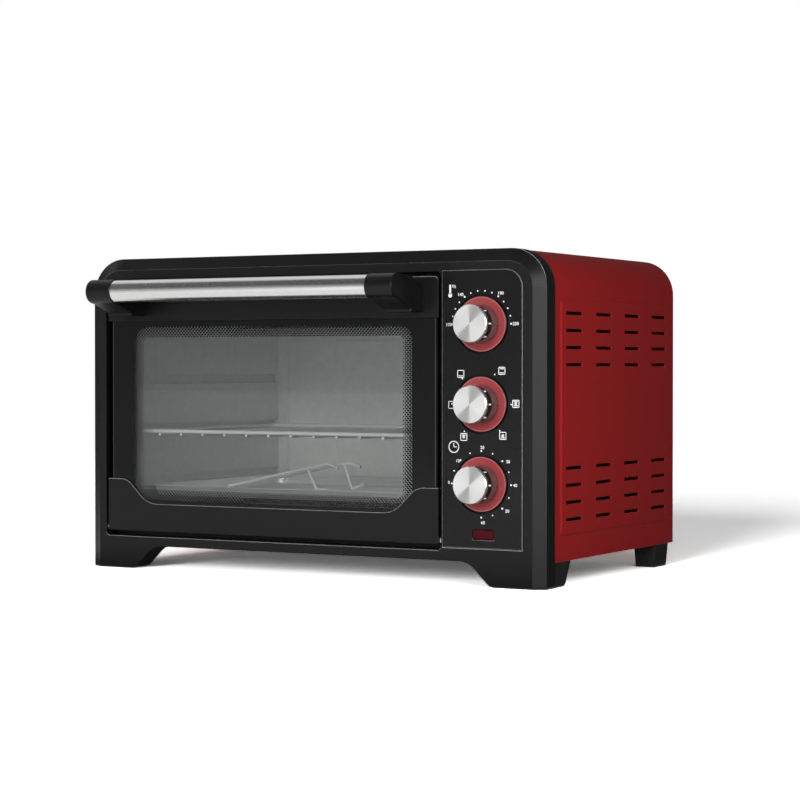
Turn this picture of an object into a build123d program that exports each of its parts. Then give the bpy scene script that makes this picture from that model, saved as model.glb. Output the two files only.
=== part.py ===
from build123d import *
import os
from math import atan, degrees

os.makedirs("parts", exist_ok=True)

# Electric countertop oven with a drop-down glass door, in millimetres.
# Origin: on the table, under the middle of the oven's overall box. +X points to the control
# panel's side, +Y to the back, +Z up. A depth is measured backwards from the frame's front face.

# Overall sizes
case_width = 476.0
case_height = 290.0
case_depth = 285.0
handle_reach = 55.5
spacer_reach = 14.0

# Clearances
sheet = 1.0
seat_gap = 0.3
running_gap = 0.05
turning_gap = 0.8

# Front frame
frame_depth = 22.0
frame_wall = 3.0
corner_radius = 34.0
rim_across = 10.8
rim_back = 6.3
arch_height = 21.4
foot_length = 51.0
arch_top_radius = 22.0
foot_toe_radius = 12.0

# Door opening and door
door_width = 353.8
door_side_gap = 2.9
left_post = 18.0
opening_bottom = 30.0
opening_height = 241.0
opening_corner = 4.0
door_lift = 5.2
door_height = 232.0
door_depth = 14.0
cover_wall = 2.0
cover_corner = 4.0
top_cover_height = 35.7
lower_cover_height = 25.6
lower_tab_height = 48.5
tab_width = 21.7
tab_upper_radius = 17.0
tab_lower_radius = 27.0
glass_thickness = 4.0
glass_inset = 3.6
glass_bite = 12.0
glass_corner = 4.0
glass_hole_gap = 1.0
hinge_depth = 6.0
hinge_rise = 3.0
pin_radius = 2.5
pin_length = 16.0
hinge_block_width = 12.0
hinge_block_height = 9.0
hinge_plate_height = 30.0
hinge_plate_rise = 8.0
hinge_plate_setback = 1.5

# Door handle
handle_length = 323.8
bracket_width = 27.0
bracket_radius = 10.9
handle_radius = 10.2
handle_wall = 1.5
handle_z = 257.8
spigot_length = 14.0
screw_radius = 2.5
screw_head_radius = 4.5
screw_head_height = 2.6
screw_grip = 12.0

# Control panel
panel_width = 77.4
panel_height = 239.0
panel_bottom = 33.0
panel_strip = 1.2
panel_thickness = 2.0
panel_proud = 0.6
panel_top_radius = 16.0
panel_corner = 2.0
panel_edge = 0.4
knob_offset = 0.5
knob_pitch = 68.5
knob_middle_z = 156.8
lens_width = 20.4
lens_height = 8.8
lens_z = 45.0
lens_offset = 1.9
lens_proud = 1.2
lens_depth = 6.0

# Knobs and their rings
ring_radius = 24.2
ring_groove = 1.4
ring_thickness = 2.6
ring_floor_radius = 17.4
ring_floor_drop = 1.0
ring_bevel = 0.8
shaft_radius = 3.0
shaft_hole = 4.2
knob_radius = 15.2
knob_length = 18.4
knob_wall = 1.6
knob_hub_radius = 6.5
knob_ribs = 8
rib_width = 1.3
rib_height = 0.7
cap_radius = 16.2
cap_thickness = 3.6
cap_bevel = 0.8
shaft_flat = 0.8
shaft_bite = 11.0

# Outer shell
shell_side_inset = 1.3
shell_top_inset = 0.6
joggle_length = 10.0
shell_flange = 12.0
emboss_height = 1.2
emboss_border = 2.0
emboss_front = 34.0
emboss_rear = 276.0
emboss_bottom = 43.0
emboss_top = 246.0
emboss_radius = 5.0
louvre_length = 32.4
louvre_height = 3.0
louvre_columns = 4
louvre_rows = 4
louvre_column_pitch = 62.0
louvre_row_pitch = 14.8
louvre_middle_depth = 153.3
upper_louvres_z = 212.8
lower_louvres_z = 79.2

# Back panel, base plate and feet
base_vent_length = 40.0
base_vent_width = 5.0
base_vent_pitch = 60.0
base_lip = 8.0
back_inset = 2.0
back_flange = 10.0
back_vent_length = 36.0
back_vent_height = 4.0
back_vent_pitch = 10.0
back_vent_column = 50.0
gland_x = 188.0
gland_z = 62.0
gland_radius = 8.0
gland_flange = 11.0
cord_radius = 3.5
gland_inside = 6.0
gland_rim = 2.5
gland_nose = 9.0
gland_nose_wall = 3.0
spacer_spread = 300.0
spacer_z = 236.0
spacer_radius = 10.0
spacer_edge = 2.0
spacer_stub = 4.0
front_foot_width = 34.0
front_foot_length = 22.0
front_foot_slope = 12.0
rear_foot_width = 22.0
rear_foot_length = 30.0
rear_foot_depth = 258.0
foot_taper = 4.0
foot_heel_radius = 8.0
foot_edge = 1.0

# Cavity
cavity_width = 313.6
cavity_bottom = 42.0
cavity_top_z = 245.0
flange_depth = 17.0
cavity_rear = 265.0
channel_depth = 5.0
channel_height = 8.5
tray_channel_z = 76.0
rack_channel_z = 126.0
upper_channel_z = 172.5
stiffener_width = 16.0
floor_tab_width = 12.0
back_emboss_margin = 10.0
back_emboss_bottom = 60.0
back_emboss_top = 217.0
back_emboss_radius = 8.0
back_emboss_drop = 3.0
back_emboss_slope = 2.5

# Heating tubes
heater_radius = 4.0
lower_heater_z = 54.0
upper_heater_z = 232.0
front_heater_depth = 75.0
rear_heater_depth = 205.0
heater_overhang = 9.0
ceramic_radius = 7.0
ceramic_length = 8.0
heater_pin = 5.0

# Rack, tray and the tray's lifting tool
rack_wire = 1.9
rack_rod = 1.3
rack_rods = 12
rack_pitch = 24.3
rack_corner = 12.0
rack_front = 22.0
rack_rear = 258.0
weld = 0.4
tray_front = 24.0
tray_rear = 256.0
tray_height = 9.9
tray_rim = 4.5
tray_corner = 18.0
tray_slope = 12.0
crumb_margin = 12.0
crumb_height = 6.0
tool_wire = 1.6

# Parts behind the control panel
bracket_plate_depth = 26.0
thermostat_side = 36.0
thermostat_depth = 24.0
switch_radius = 19.0
switch_depth = 30.0
timer_width = 50.0
timer_height = 46.0
timer_depth = 32.0
body_corner = 5.0
terminal_width = 6.3
terminal_thickness = 0.8
terminal_length = 8.0
bell_post_radius = 4.0
bell_post_length = 4.0
bell_radius = 20.0
bell_height = 9.0
terminal_block_length = 36.0
terminal_block_width = 18.0
terminal_block_height = 14.0
terminal_block_inset = 60.0
terminal_pitch = 11.0
terminal_hole = 2.5
terminal_hole_depth = 3.0
boss_radius = 9.0
boss_length = 6.0
fan_depth = 175.0
fan_z = 150.0
fan_radius = 40.0
fan_blades = 6
fan_blade_width = 11.0
motor_radius = 22.0
motor_length = 30.0
fan_shaft_radius = 2.5
motor_gap = 4.0
motor_tab_length = 16.0
motor_tab_width = 12.0
fan_hole_radius = 4.0

# Places worked out from the sizes above
overall_depth = handle_reach + case_depth + spacer_reach
front_y = handle_reach - overall_depth / 2
half_width = case_width / 2
opening_left = -half_width + left_post
opening_width = door_width + 2 * door_side_gap
opening_right = opening_left + opening_width
opening_x = (opening_left + opening_right) / 2
opening_z = opening_bottom + opening_height / 2
door_bottom = opening_bottom + door_lift
door_top = door_bottom + door_height
hinge_z = door_bottom + hinge_rise
glass_depth = cover_wall + seat_gap
panel_left = opening_right + panel_strip
panel_x = panel_left + panel_width / 2
panel_z = panel_bottom + panel_height / 2
panel_seat = panel_thickness - panel_proud
knob_x = panel_x - knob_offset
lens_x = knob_x + lens_offset
knob_heights = {
    "temperature": knob_middle_z + knob_pitch,
    "function": knob_middle_z,
    "timer": knob_middle_z - knob_pitch,
}
ring_front = panel_seat - ring_thickness
knob_rear = ring_front + ring_floor_drop - turning_gap
knob_front = knob_rear - knob_length
handle_depth = bracket_radius - handle_reach
shell_half = half_width - shell_side_inset
shell_top = case_height - shell_top_inset
joggle_inset = frame_wall + seat_gap
cavity_left = opening_x - cavity_width / 2
cavity_right = opening_x + cavity_width / 2
plate_half = shell_half - sheet - seat_gap


# Planes and profiles that several pieces share


def facing(depth):
    """Plane that faces the user at a depth: its own x is X and its own y is Z."""
    return Plane(origin=(0, front_y + depth, 0), x_dir=(1, 0, 0), z_dir=(0, -1, 0))


def across(x):
    """Plane square to X: its own x is Y and its own y is Z."""
    return Plane.YZ.offset(x)


def frame_outline(plane, inset):
    """Front outline of the frame with its two foot arches, drawn in by an inset."""
    arch_end = half_width - foot_length
    with BuildSketch(plane) as outline:
        with BuildLine():
            Polyline(
                (-half_width, 0),
                (-half_width, case_height),
                (half_width, case_height),
                (half_width, 0),
                (arch_end, 0),
                (arch_end - arch_height, arch_height),
                (-arch_end + arch_height, arch_height),
                (-arch_end, 0),
                close=True,
            )
        make_face()
        fillet(outline.vertices().group_by(Axis.Y)[-1], corner_radius)
        fillet(outline.vertices().filter_by(lambda v: abs(v.Y - arch_height) < 1e-3), arch_top_radius)
        toes = outline.vertices().group_by(Axis.Y)[0].filter_by(lambda v: abs(v.X) < half_width - 1)
        fillet(toes, foot_toe_radius)
        if inset:
            offset(amount=-inset)
    return outline.sketch


def frame_block(inset):
    """Block with the frame's outline and chamfered rim, set in by an inset on the front and round it."""
    with BuildPart() as block:
        extrude(to_extrude=frame_outline(facing(inset), inset), amount=inset - frame_depth)
        front = block.faces().sort_by(Axis.Y)[0]
        rim = front.edges().filter_by_position(Axis.Z, 2 * arch_height, case_height)
        chamfer(rim, rim_across, rim_back, reference=front)
    return block.part


def panel_outline(plane, grow):
    """Outline of the control panel with its large upper outer corner."""
    with BuildSketch(plane) as outline:
        with Locations((panel_x, panel_z)):
            Rectangle(panel_width, panel_height)
        upper = outline.vertices().group_by(Axis.Y)[-1].sort_by(Axis.X)
        lower = outline.vertices().group_by(Axis.Y)[0]
        fillet(upper[-1], panel_top_radius)
        fillet([upper[0], *lower], panel_corner)
        if grow:
            offset(amount=grow, kind=Kind.INTERSECTION)
    return outline.sketch


def knob_places():
    """Centres of the three knobs on a plane that faces the user."""
    return [(knob_x, z) for z in knob_heights.values()]


def arched_outline(plane, side_inset, top_inset, bottom):
    """Outline with the frame's large upper corners, drawn in by two insets, from a bottom height up."""
    half = half_width - side_inset
    top = case_height - top_inset
    with BuildSketch(plane) as outline:
        with Locations((0, (bottom + top) / 2)):
            Rectangle(2 * half, top - bottom)
        fillet(outline.vertices().group_by(Axis.Y)[-1], corner_radius - side_inset)
    return outline.sketch


def shell_outline(plane, inset, bottom):
    """Outline of the wrapped shell, drawn in by an inset, from a bottom height up."""
    return arched_outline(plane, shell_side_inset + inset, shell_top_inset + inset, bottom)


# Front frame: hollow moulded bezel with a collar round the door opening

with BuildPart() as front_frame:
    add(frame_block(0))
    add(frame_block(frame_wall), mode=Mode.SUBTRACT)
    with BuildSketch(facing(0)):
        with Locations((opening_x, opening_z)):
            RectangleRounded(
                opening_width + 2 * frame_wall, opening_height + 2 * frame_wall, opening_corner + frame_wall
            )
    extrude(amount=-frame_depth)
    with BuildSketch(facing(0)):
        with Locations((opening_x, opening_z)):
            RectangleRounded(opening_width, opening_height, opening_corner)
    extrude(amount=-frame_depth, mode=Mode.SUBTRACT)
    extrude(to_extrude=panel_outline(facing(0), seat_gap), amount=-panel_seat, mode=Mode.SUBTRACT)
    with BuildSketch(facing(0)):
        with Locations(*knob_places()):
            Circle(shaft_hole)
        with Locations((lens_x, lens_z)):
            Rectangle(lens_width + 2 * seat_gap, lens_height + 2 * seat_gap)
    extrude(amount=-frame_wall, mode=Mode.SUBTRACT)
    with BuildSketch(across(opening_left - frame_wall)):
        with Locations((front_y + hinge_depth, hinge_z)):
            Circle(pin_radius + running_gap)
    extrude(amount=opening_width + 2 * frame_wall, mode=Mode.SUBTRACT)
front_frame.part.label = "front_frame"
export_step(front_frame.part, "parts/front_frame.step")

# Control panel: plate in the frame's seat, with round wells for the rings

with BuildPart() as control_panel:
    extrude(to_extrude=panel_outline(facing(-panel_proud), 0), amount=-panel_thickness)
    chamfer(control_panel.faces().sort_by(Axis.Y)[0].edges(), panel_edge)
    with BuildSketch(facing(-panel_proud)):
        with Locations(*knob_places()):
            Circle(ring_radius + ring_groove)
        with Locations((lens_x, lens_z)):
            Rectangle(lens_width + 2 * seat_gap, lens_height + 2 * seat_gap)
    extrude(amount=-panel_thickness, mode=Mode.SUBTRACT)
control_panel.part.label = "control_panel"
export_step(control_panel.part, "parts/control_panel.step")

# Indicator lens and the lamp behind it

with BuildPart() as indicator_lens:
    with BuildSketch(facing(-panel_proud - lens_proud)):
        with Locations((lens_x, lens_z)):
            Rectangle(lens_width, lens_height)
    extrude(amount=-lens_depth)
    chamfer(indicator_lens.faces().sort_by(Axis.Y)[0].edges(), lens_proud)
indicator_lens.part.label = "indicator_lens"
export_step(indicator_lens.part, "parts/indicator_lens.step")

lamp_depth = lens_depth - panel_proud - lens_proud

with BuildPart() as indicator_lamp:
    with BuildSketch(facing(lamp_depth)):
        with Locations((lens_x, lens_z)):
            Circle(lens_height / 3)
    extrude(amount=lamp_depth - bracket_plate_depth - sheet - seat_gap)
    with BuildSketch(facing(bracket_plate_depth - sheet)):
        with Locations((lens_x, lens_z)):
            Circle(lens_height / 2)
    extrude(amount=sheet - seat_gap / 3)
indicator_lamp.part.label = "indicator_lamp"
export_step(indicator_lamp.part, "parts/indicator_lamp.step")

# Knob rings: dished discs in the panel's wells

for control, z in knob_heights.items():
    with BuildPart() as knob_ring:
        with BuildSketch(Plane(origin=(knob_x, front_y, z), x_dir=(1, 0, 0), z_dir=(0, 0, 1))):
            with BuildLine():
                Polyline(
                    (shaft_hole, panel_seat),
                    (ring_radius, panel_seat),
                    (ring_radius, ring_front + ring_bevel),
                    (ring_radius - ring_bevel, ring_front),
                    (ring_floor_radius, ring_front + ring_floor_drop),
                    (shaft_hole, ring_front + ring_floor_drop),
                    close=True,
                )
            make_face()
        revolve(axis=Axis((knob_x, front_y, z), (0, 1, 0)))
    knob_ring.part.label = f"{control}_ring"
    export_step(knob_ring.part, f"parts/{control}_ring.step")

# Knobs: ribbed hollow cup with a spun cap on the front and a flatted shaft in its hub

cup_floor = knob_front + knob_wall
shaft_front = cup_floor + seat_gap
shaft_rear = bracket_plate_depth + sheet + shaft_bite

for control, z in knob_heights.items():
    with BuildPart() as knob:
        with BuildSketch(Plane(origin=(knob_x, front_y, z), x_dir=(1, 0, 0), z_dir=(0, 0, 1))):
            with BuildLine():
                Polyline(
                    (0, knob_front),
                    (knob_radius, knob_front),
                    (knob_radius, knob_rear),
                    (knob_radius - knob_wall, knob_rear),
                    (knob_radius - knob_wall, cup_floor),
                    (knob_hub_radius, cup_floor),
                    (knob_hub_radius, knob_rear),
                    (0, knob_rear),
                    close=True,
                )
            make_face()
        revolve(axis=Axis((knob_x, front_y, z), (0, 1, 0)))
        with BuildSketch(facing(knob_front)):
            with Locations((knob_x, z)):
                with PolarLocations(knob_radius, knob_ribs):
                    Rectangle(2 * rib_height, rib_width)
        extrude(amount=-knob_length)
        with BuildSketch(facing(knob_rear)):
            with Locations((knob_x, z)):
                Circle(shaft_radius + running_gap)
                with Locations((shaft_radius, 0)):
                    Rectangle(2 * shaft_flat, 2 * shaft_radius, mode=Mode.SUBTRACT)
        extrude(amount=knob_rear - cup_floor, mode=Mode.SUBTRACT)
    knob.part.label = f"{control}_knob"
    export_step(knob.part, f"parts/{control}_knob.step")

    with BuildPart() as knob_cap:
        with BuildSketch(facing(knob_front)):
            with Locations((knob_x, z)):
                Circle(cap_radius)
        extrude(amount=cap_thickness)
        chamfer(knob_cap.faces().sort_by(Axis.Y)[0].edges(), cap_bevel)
    knob_cap.part.label = f"{control}_knob_cap"
    export_step(knob_cap.part, f"parts/{control}_knob_cap.step")

    with BuildPart() as control_shaft:
        with BuildSketch(facing(shaft_front)):
            with Locations((knob_x, z)):
                Circle(shaft_radius)
        extrude(amount=shaft_front - shaft_rear)
        with BuildSketch(facing(shaft_front)):
            with Locations((knob_x + shaft_radius, z)):
                Rectangle(2 * (shaft_flat + running_gap), 2 * shaft_radius)
        extrude(amount=shaft_front - knob_rear, mode=Mode.SUBTRACT)
    control_shaft.part.label = f"{control}_shaft"
    export_step(control_shaft.part, f"parts/{control}_shaft.step")

# Control bracket: steel plate across the frame's rear that carries the three controls

bracket_left = opening_right + frame_wall + seat_gap
bracket_right = half_width - joggle_inset - sheet - seat_gap
bracket_bottom = panel_bottom + 2 * seat_gap
bracket_top = panel_bottom + panel_height - panel_top_radius

with BuildPart() as control_bracket:
    with BuildSketch(facing(bracket_plate_depth)):
        with Locations(((bracket_left + bracket_right) / 2, (bracket_bottom + bracket_top) / 2)):
            Rectangle(bracket_right - bracket_left, bracket_top - bracket_bottom)
        with Locations(*knob_places()):
            Circle(shaft_hole, mode=Mode.SUBTRACT)
        with Locations((lens_x, lens_z)):
            Circle(lens_height / 3 + seat_gap, mode=Mode.SUBTRACT)
    extrude(amount=-sheet)
    with BuildSketch(facing(frame_depth)):
        with Locations((bracket_left + sheet / 2, (bracket_bottom + bracket_top) / 2)):
            Rectangle(sheet, bracket_top - bracket_bottom)
    extrude(amount=frame_depth - bracket_plate_depth)
control_bracket.part.label = "control_bracket"
export_step(control_bracket.part, "parts/control_bracket.step")

control_face = bracket_plate_depth + sheet


def shaft_bore():
    """Cut the shaft's running bore into the control that is being built."""
    extrude(amount=-shaft_bite - seat_gap, mode=Mode.SUBTRACT)


with BuildPart() as thermostat_body:
    with BuildSketch(facing(control_face)):
        with Locations((knob_x, knob_heights["temperature"])):
            RectangleRounded(thermostat_side, thermostat_side, body_corner)
    extrude(amount=-thermostat_depth)
    with BuildSketch(facing(control_face + thermostat_depth)):
        with Locations((knob_x, knob_heights["temperature"])):
            with GridLocations(thermostat_side / 2, thermostat_side / 2, 2, 2):
                Rectangle(terminal_width, terminal_thickness)
    extrude(amount=-terminal_length)
    with BuildSketch(facing(control_face)):
        with Locations((knob_x, knob_heights["temperature"])):
            Circle(shaft_radius + running_gap)
    shaft_bore()
thermostat_body.part.label = "thermostat_body"
export_step(thermostat_body.part, "parts/thermostat_body.step")

with BuildPart() as function_switch_body:
    with BuildSketch(facing(control_face)):
        with Locations((knob_x, knob_heights["function"])):
            Circle(switch_radius)
    extrude(amount=-switch_depth)
    with BuildSketch(facing(control_face + switch_depth)):
        with Locations((knob_x, knob_heights["function"])):
            with PolarLocations(switch_radius * 0.6, 6):
                Rectangle(terminal_width, terminal_thickness)
    extrude(amount=-terminal_length)
    with BuildSketch(facing(control_face)):
        with Locations((knob_x, knob_heights["function"])):
            Circle(shaft_radius + running_gap)
    shaft_bore()
function_switch_body.part.label = "function_switch_body"
export_step(function_switch_body.part, "parts/function_switch_body.step")

with BuildPart() as timer_body:
    with BuildSketch(facing(control_face)):
        with Locations((knob_x, knob_heights["timer"])):
            RectangleRounded(timer_width, timer_height, body_corner)
    extrude(amount=-timer_depth)
    with BuildSketch(facing(control_face + timer_depth)):
        with Locations((knob_x, knob_heights["timer"])):
            Circle(bell_post_radius)
    extrude(amount=-bell_post_length)
    with BuildSketch(facing(control_face)):
        with Locations((knob_x, knob_heights["timer"])):
            Circle(shaft_radius + running_gap)
    shaft_bore()
timer_body.part.label = "timer_body"
export_step(timer_body.part, "parts/timer_body.step")

bell_front = control_face + timer_depth + bell_post_length

with BuildPart() as timer_bell:
    bell_place = (knob_x, front_y + bell_front, knob_heights["timer"])
    bell_plane = Plane(origin=bell_place, x_dir=(1, 0, 0), z_dir=(0, 0, 1))
    with BuildSketch(bell_plane):
        with BuildLine():
            Polyline(
                (0, 0),
                (bell_radius * 0.7, 0),
                (bell_radius * 0.95, bell_height / 3),
                (bell_radius, bell_height),
                (bell_radius - sheet, bell_height),
                (bell_radius * 0.95 - sheet, bell_height / 3 + sheet),
                (bell_radius * 0.7 - sheet, sheet),
                (0, sheet),
                close=True,
            )
        make_face()
    revolve(axis=Axis(bell_plane.origin, (0, 1, 0)))
timer_bell.part.label = "timer_bell"
export_step(timer_bell.part, "parts/timer_bell.step")

# Outer shell: one sheet wrapped over the top and both sides, with louvred embossed panels

emboss_middle = front_y + (emboss_front + emboss_rear) / 2
emboss_taper = degrees(atan(emboss_border / emboss_height))


def side_emboss(plane_x):
    """Raised side panel, grown outwards from a plane on each side of the shell."""
    with BuildPart() as emboss:
        with BuildSketch(across(plane_x)):
            with Locations((emboss_middle, (emboss_bottom + emboss_top) / 2)):
                RectangleRounded(emboss_rear - emboss_front, emboss_top - emboss_bottom, emboss_radius)
        extrude(amount=emboss_height, taper=emboss_taper)
        mirror(about=Plane.YZ)
    return emboss.part


with BuildPart() as outer_shell:
    base_inside = arch_height + sheet
    extrude(to_extrude=shell_outline(facing(frame_depth), 0, arch_height), amount=frame_depth - case_depth)
    extrude(
        to_extrude=shell_outline(facing(frame_depth), sheet, base_inside),
        amount=frame_depth - case_depth,
        mode=Mode.SUBTRACT,
    )
    with BuildSketch(facing(frame_depth)):
        with Locations((0, arch_height + sheet / 2)):
            Rectangle(2 * (shell_half - shell_flange), sheet)
    extrude(amount=frame_depth - case_depth, mode=Mode.SUBTRACT)
    extrude(to_extrude=shell_outline(facing(frame_depth), sheet / 2, base_inside), amount=-sheet)
    joggle_bottom = arch_height + frame_wall + seat_gap
    joggle_front = facing(frame_depth - joggle_length)
    joggle_inside = joggle_inset + sheet
    extrude(to_extrude=arched_outline(joggle_front, joggle_inset, joggle_inset, joggle_bottom), amount=-joggle_length)
    extrude(
        to_extrude=arched_outline(joggle_front, joggle_inside, joggle_inside, 0),
        amount=-joggle_length - sheet,
        mode=Mode.SUBTRACT,
    )
    add(side_emboss(shell_half))
    add(side_emboss(shell_half - sheet), mode=Mode.SUBTRACT)
    with BuildSketch(across(-half_width)):
        for z in (lower_louvres_z, upper_louvres_z):
            with Locations((front_y + louvre_middle_depth, z)):
                with GridLocations(louvre_column_pitch, louvre_row_pitch, louvre_columns, louvre_rows):
                    Rectangle(louvre_length, louvre_height)
    extrude(amount=case_width, mode=Mode.SUBTRACT)
outer_shell.part.label = "outer_shell"
export_step(outer_shell.part, "parts/outer_shell.step")

# Base plate on the shell's lower flanges, with vents under the lower heating tubes

base_z = arch_height + sheet
base_front = frame_depth + sheet + seat_gap
base_rear = case_depth - back_inset - sheet - seat_gap

with BuildPart() as base_plate:
    with BuildSketch(Plane.XY.offset(base_z)):
        with Locations((0, front_y + (base_front + base_rear) / 2)):
            Rectangle(2 * plate_half, base_rear - base_front)
        with Locations((opening_x, front_y + (front_heater_depth + rear_heater_depth) / 2)):
            with GridLocations(base_vent_pitch, rear_heater_depth - front_heater_depth, 4, 2):
                Rectangle(base_vent_length, base_vent_width, mode=Mode.SUBTRACT)
    extrude(amount=sheet)
    with BuildSketch(Plane.XY.offset(base_z)):
        with Locations((0, front_y + base_front + sheet / 2)):
            Rectangle(2 * plate_half, sheet)
    extrude(amount=base_lip)
base_plate.part.label = "base_plate"
export_step(base_plate.part, "parts/base_plate.step")

# Back panel: pan inside the shell's rear edge, with vents and the gland's hole

back_depth = case_depth - back_inset

with BuildPart() as back_panel:
    back_bottom = base_z + sheet + seat_gap
    extrude(to_extrude=shell_outline(facing(back_depth), sheet + seat_gap, back_bottom), amount=back_flange)
    extrude(
        to_extrude=shell_outline(facing(back_depth - sheet), 2 * sheet + seat_gap, back_bottom + sheet),
        amount=back_flange - sheet,
        mode=Mode.SUBTRACT,
    )
    with BuildSketch(facing(back_depth)):
        with Locations((0, upper_louvres_z + 2 * back_vent_pitch)):
            with GridLocations(back_vent_column, back_vent_pitch, 5, 2):
                Rectangle(back_vent_length, back_vent_height)
        with Locations((gland_x, upper_louvres_z - 5 * back_vent_pitch), (gland_x, lower_louvres_z + 3 * back_vent_pitch)):
            with GridLocations(1, back_vent_pitch, 1, 4):
                Rectangle(back_vent_length, back_vent_height)
        with Locations((gland_x, gland_z)):
            Circle(gland_radius + seat_gap / 3)
        with Locations((0, spacer_z)):
            with GridLocations(spacer_spread, 1, 2, 1):
                Circle(spacer_radius / 2)
    extrude(amount=back_flange, mode=Mode.SUBTRACT)
back_panel.part.label = "back_panel"
export_step(back_panel.part, "parts/back_panel.step")

with BuildPart() as cord_gland:
    with BuildSketch(Plane(origin=(gland_x, front_y + back_depth, gland_z), x_dir=(1, 0, 0), z_dir=(0, 0, 1))):
        with BuildLine():
            Polyline(
                (cord_radius, -sheet - gland_inside),
                (gland_radius, -sheet - gland_inside),
                (gland_radius, 0),
                (gland_flange, 0),
                (gland_flange, gland_rim),
                (cord_radius + gland_nose_wall, gland_nose),
                (cord_radius, gland_nose),
                close=True,
            )
        make_face()
    revolve(axis=Axis((gland_x, front_y + back_depth, gland_z), (0, 1, 0)))
cord_gland.part.label = "cord_gland"
export_step(cord_gland.part, "parts/cord_gland.step")

with BuildPart() as wall_spacers:
    with BuildSketch(facing(back_depth)):
        with Locations((0, spacer_z)):
            with GridLocations(spacer_spread, 1, 2, 1):
                Circle(spacer_radius)
    extrude(amount=-spacer_reach - back_inset)
    chamfer(wall_spacers.faces().sort_by(Axis.Y)[-2:].edges(), spacer_edge)
    with BuildSketch(facing(back_depth)):
        with Locations((0, spacer_z)):
            with GridLocations(spacer_spread, 1, 2, 1):
                Circle(spacer_radius / 2 - seat_gap / 3)
    extrude(amount=sheet + spacer_stub)
wall_spacers.part.label = "wall_spacers"
export_step(wall_spacers.part, "parts/wall_spacers.step")

# Feet: a tapered block behind each front foot arch, and one under each rear corner

for side, direction in (("left", -1), ("right", 1)):
    outer_x = direction * shell_half
    with BuildPart() as front_foot:
        foot_x = outer_x - direction * front_foot_width / 2
        with BuildSketch(across(foot_x - front_foot_width / 2)):
            with BuildLine():
                front = front_y + frame_depth + seat_gap
                Polyline(
                    (front, 0),
                    (front + front_foot_length, 0),
                    (front + front_foot_length + front_foot_slope, arch_height),
                    (front, arch_height),
                    close=True,
                )
            make_face()
        extrude(amount=front_foot_width)
        heel = front_foot.edges().filter_by(Axis.X).group_by(Axis.Z)[0].sort_by(Axis.Y)[-1]
        fillet(heel, foot_heel_radius)
    front_foot.part.label = f"front_foot_{side}"
    export_step(front_foot.part, f"parts/front_foot_{side}.step")

    with BuildPart() as rear_foot:
        with BuildSketch(Plane.XY.offset(arch_height)):
            with Locations((outer_x - direction * rear_foot_width / 2, front_y + rear_foot_depth)):
                Rectangle(rear_foot_width, rear_foot_length)
        extrude(amount=-arch_height, taper=foot_taper)
        chamfer(rear_foot.faces().sort_by(Axis.Z)[0].edges(), foot_edge)
    rear_foot.part.label = f"rear_foot_{side}"
    export_step(rear_foot.part, f"parts/rear_foot_{side}.step")

# Cavity: folded steel walls with pressed channels for the rack and the tray

cavity_length = cavity_rear - flange_depth - sheet
cavity_middle = front_y + flange_depth + sheet + cavity_length / 2
channel_heights = (tray_channel_z, rack_channel_z, upper_channel_z)


def cavity_wall(direction, inner_x):
    """Side wall whose channels are pressed outwards; direction is -1 for the left wall and 1 for the right."""
    with BuildPart() as wall:
        with BuildSketch(facing(flange_depth + sheet)):
            with Locations((inner_x + direction * sheet / 2, (cavity_bottom + cavity_top_z) / 2)):
                Rectangle(sheet, cavity_top_z - cavity_bottom)
            for z in channel_heights:
                with Locations((inner_x + direction * (channel_depth + sheet) / 2, z + channel_height / 2)):
                    Rectangle(channel_depth + sheet, channel_height + 2 * sheet)
                with Locations((inner_x + direction * channel_depth / 2, z + channel_height / 2)):
                    Rectangle(channel_depth, channel_height, mode=Mode.SUBTRACT)
        extrude(amount=-cavity_length)
    return wall.part


heater_depths = (front_heater_depth, rear_heater_depth)
heater_heights = (lower_heater_z, upper_heater_z)


def heater_holes(plane_x):
    """Sketch of the four round holes that the heating tubes' ceramic ends sit in."""
    with BuildSketch(across(plane_x)) as holes:
        for z in heater_heights:
            for depth in heater_depths:
                with Locations((front_y + depth, z)):
                    Circle(heater_radius + 1)
    return holes.sketch


with BuildPart() as cavity_left_wall:
    add(cavity_wall(-1, cavity_left))
    extrude(to_extrude=heater_holes(cavity_left - sheet), amount=sheet, mode=Mode.SUBTRACT)
cavity_left_wall.part.label = "cavity_left_wall"
export_step(cavity_left_wall.part, "parts/cavity_left_wall.step")

with BuildPart() as cavity_right_wall:
    add(cavity_wall(1, cavity_right))
    extrude(to_extrude=heater_holes(cavity_right), amount=sheet, mode=Mode.SUBTRACT)
    with BuildSketch(across(cavity_right)):
        with Locations((front_y + fan_depth, fan_z)):
            Circle(fan_hole_radius)
            with PolarLocations(fan_radius * 0.3, 6):
                Circle(fan_hole_radius)
            with PolarLocations(fan_radius * 0.6, 8, start_angle=15):
                Circle(fan_hole_radius)
    extrude(amount=sheet, mode=Mode.SUBTRACT)
cavity_right_wall.part.label = "cavity_right_wall"
export_step(cavity_right_wall.part, "parts/cavity_right_wall.step")

with BuildPart() as cavity_top:
    with BuildSketch(Plane.XY.offset(cavity_top_z)):
        with Locations((opening_x, cavity_middle)):
            Rectangle(cavity_width + 2 * sheet, cavity_length)
    extrude(amount=sheet)
    with BuildSketch(facing(flange_depth + sheet)):
        with Locations((opening_x, cavity_top_z + 1.5 * sheet)):
            with GridLocations(cavity_width / 4, 1, 3, 1):
                Rectangle(stiffener_width, sheet)
    extrude(amount=-cavity_length)
cavity_top.part.label = "cavity_top"
export_step(cavity_top.part, "parts/cavity_top.step")

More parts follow.
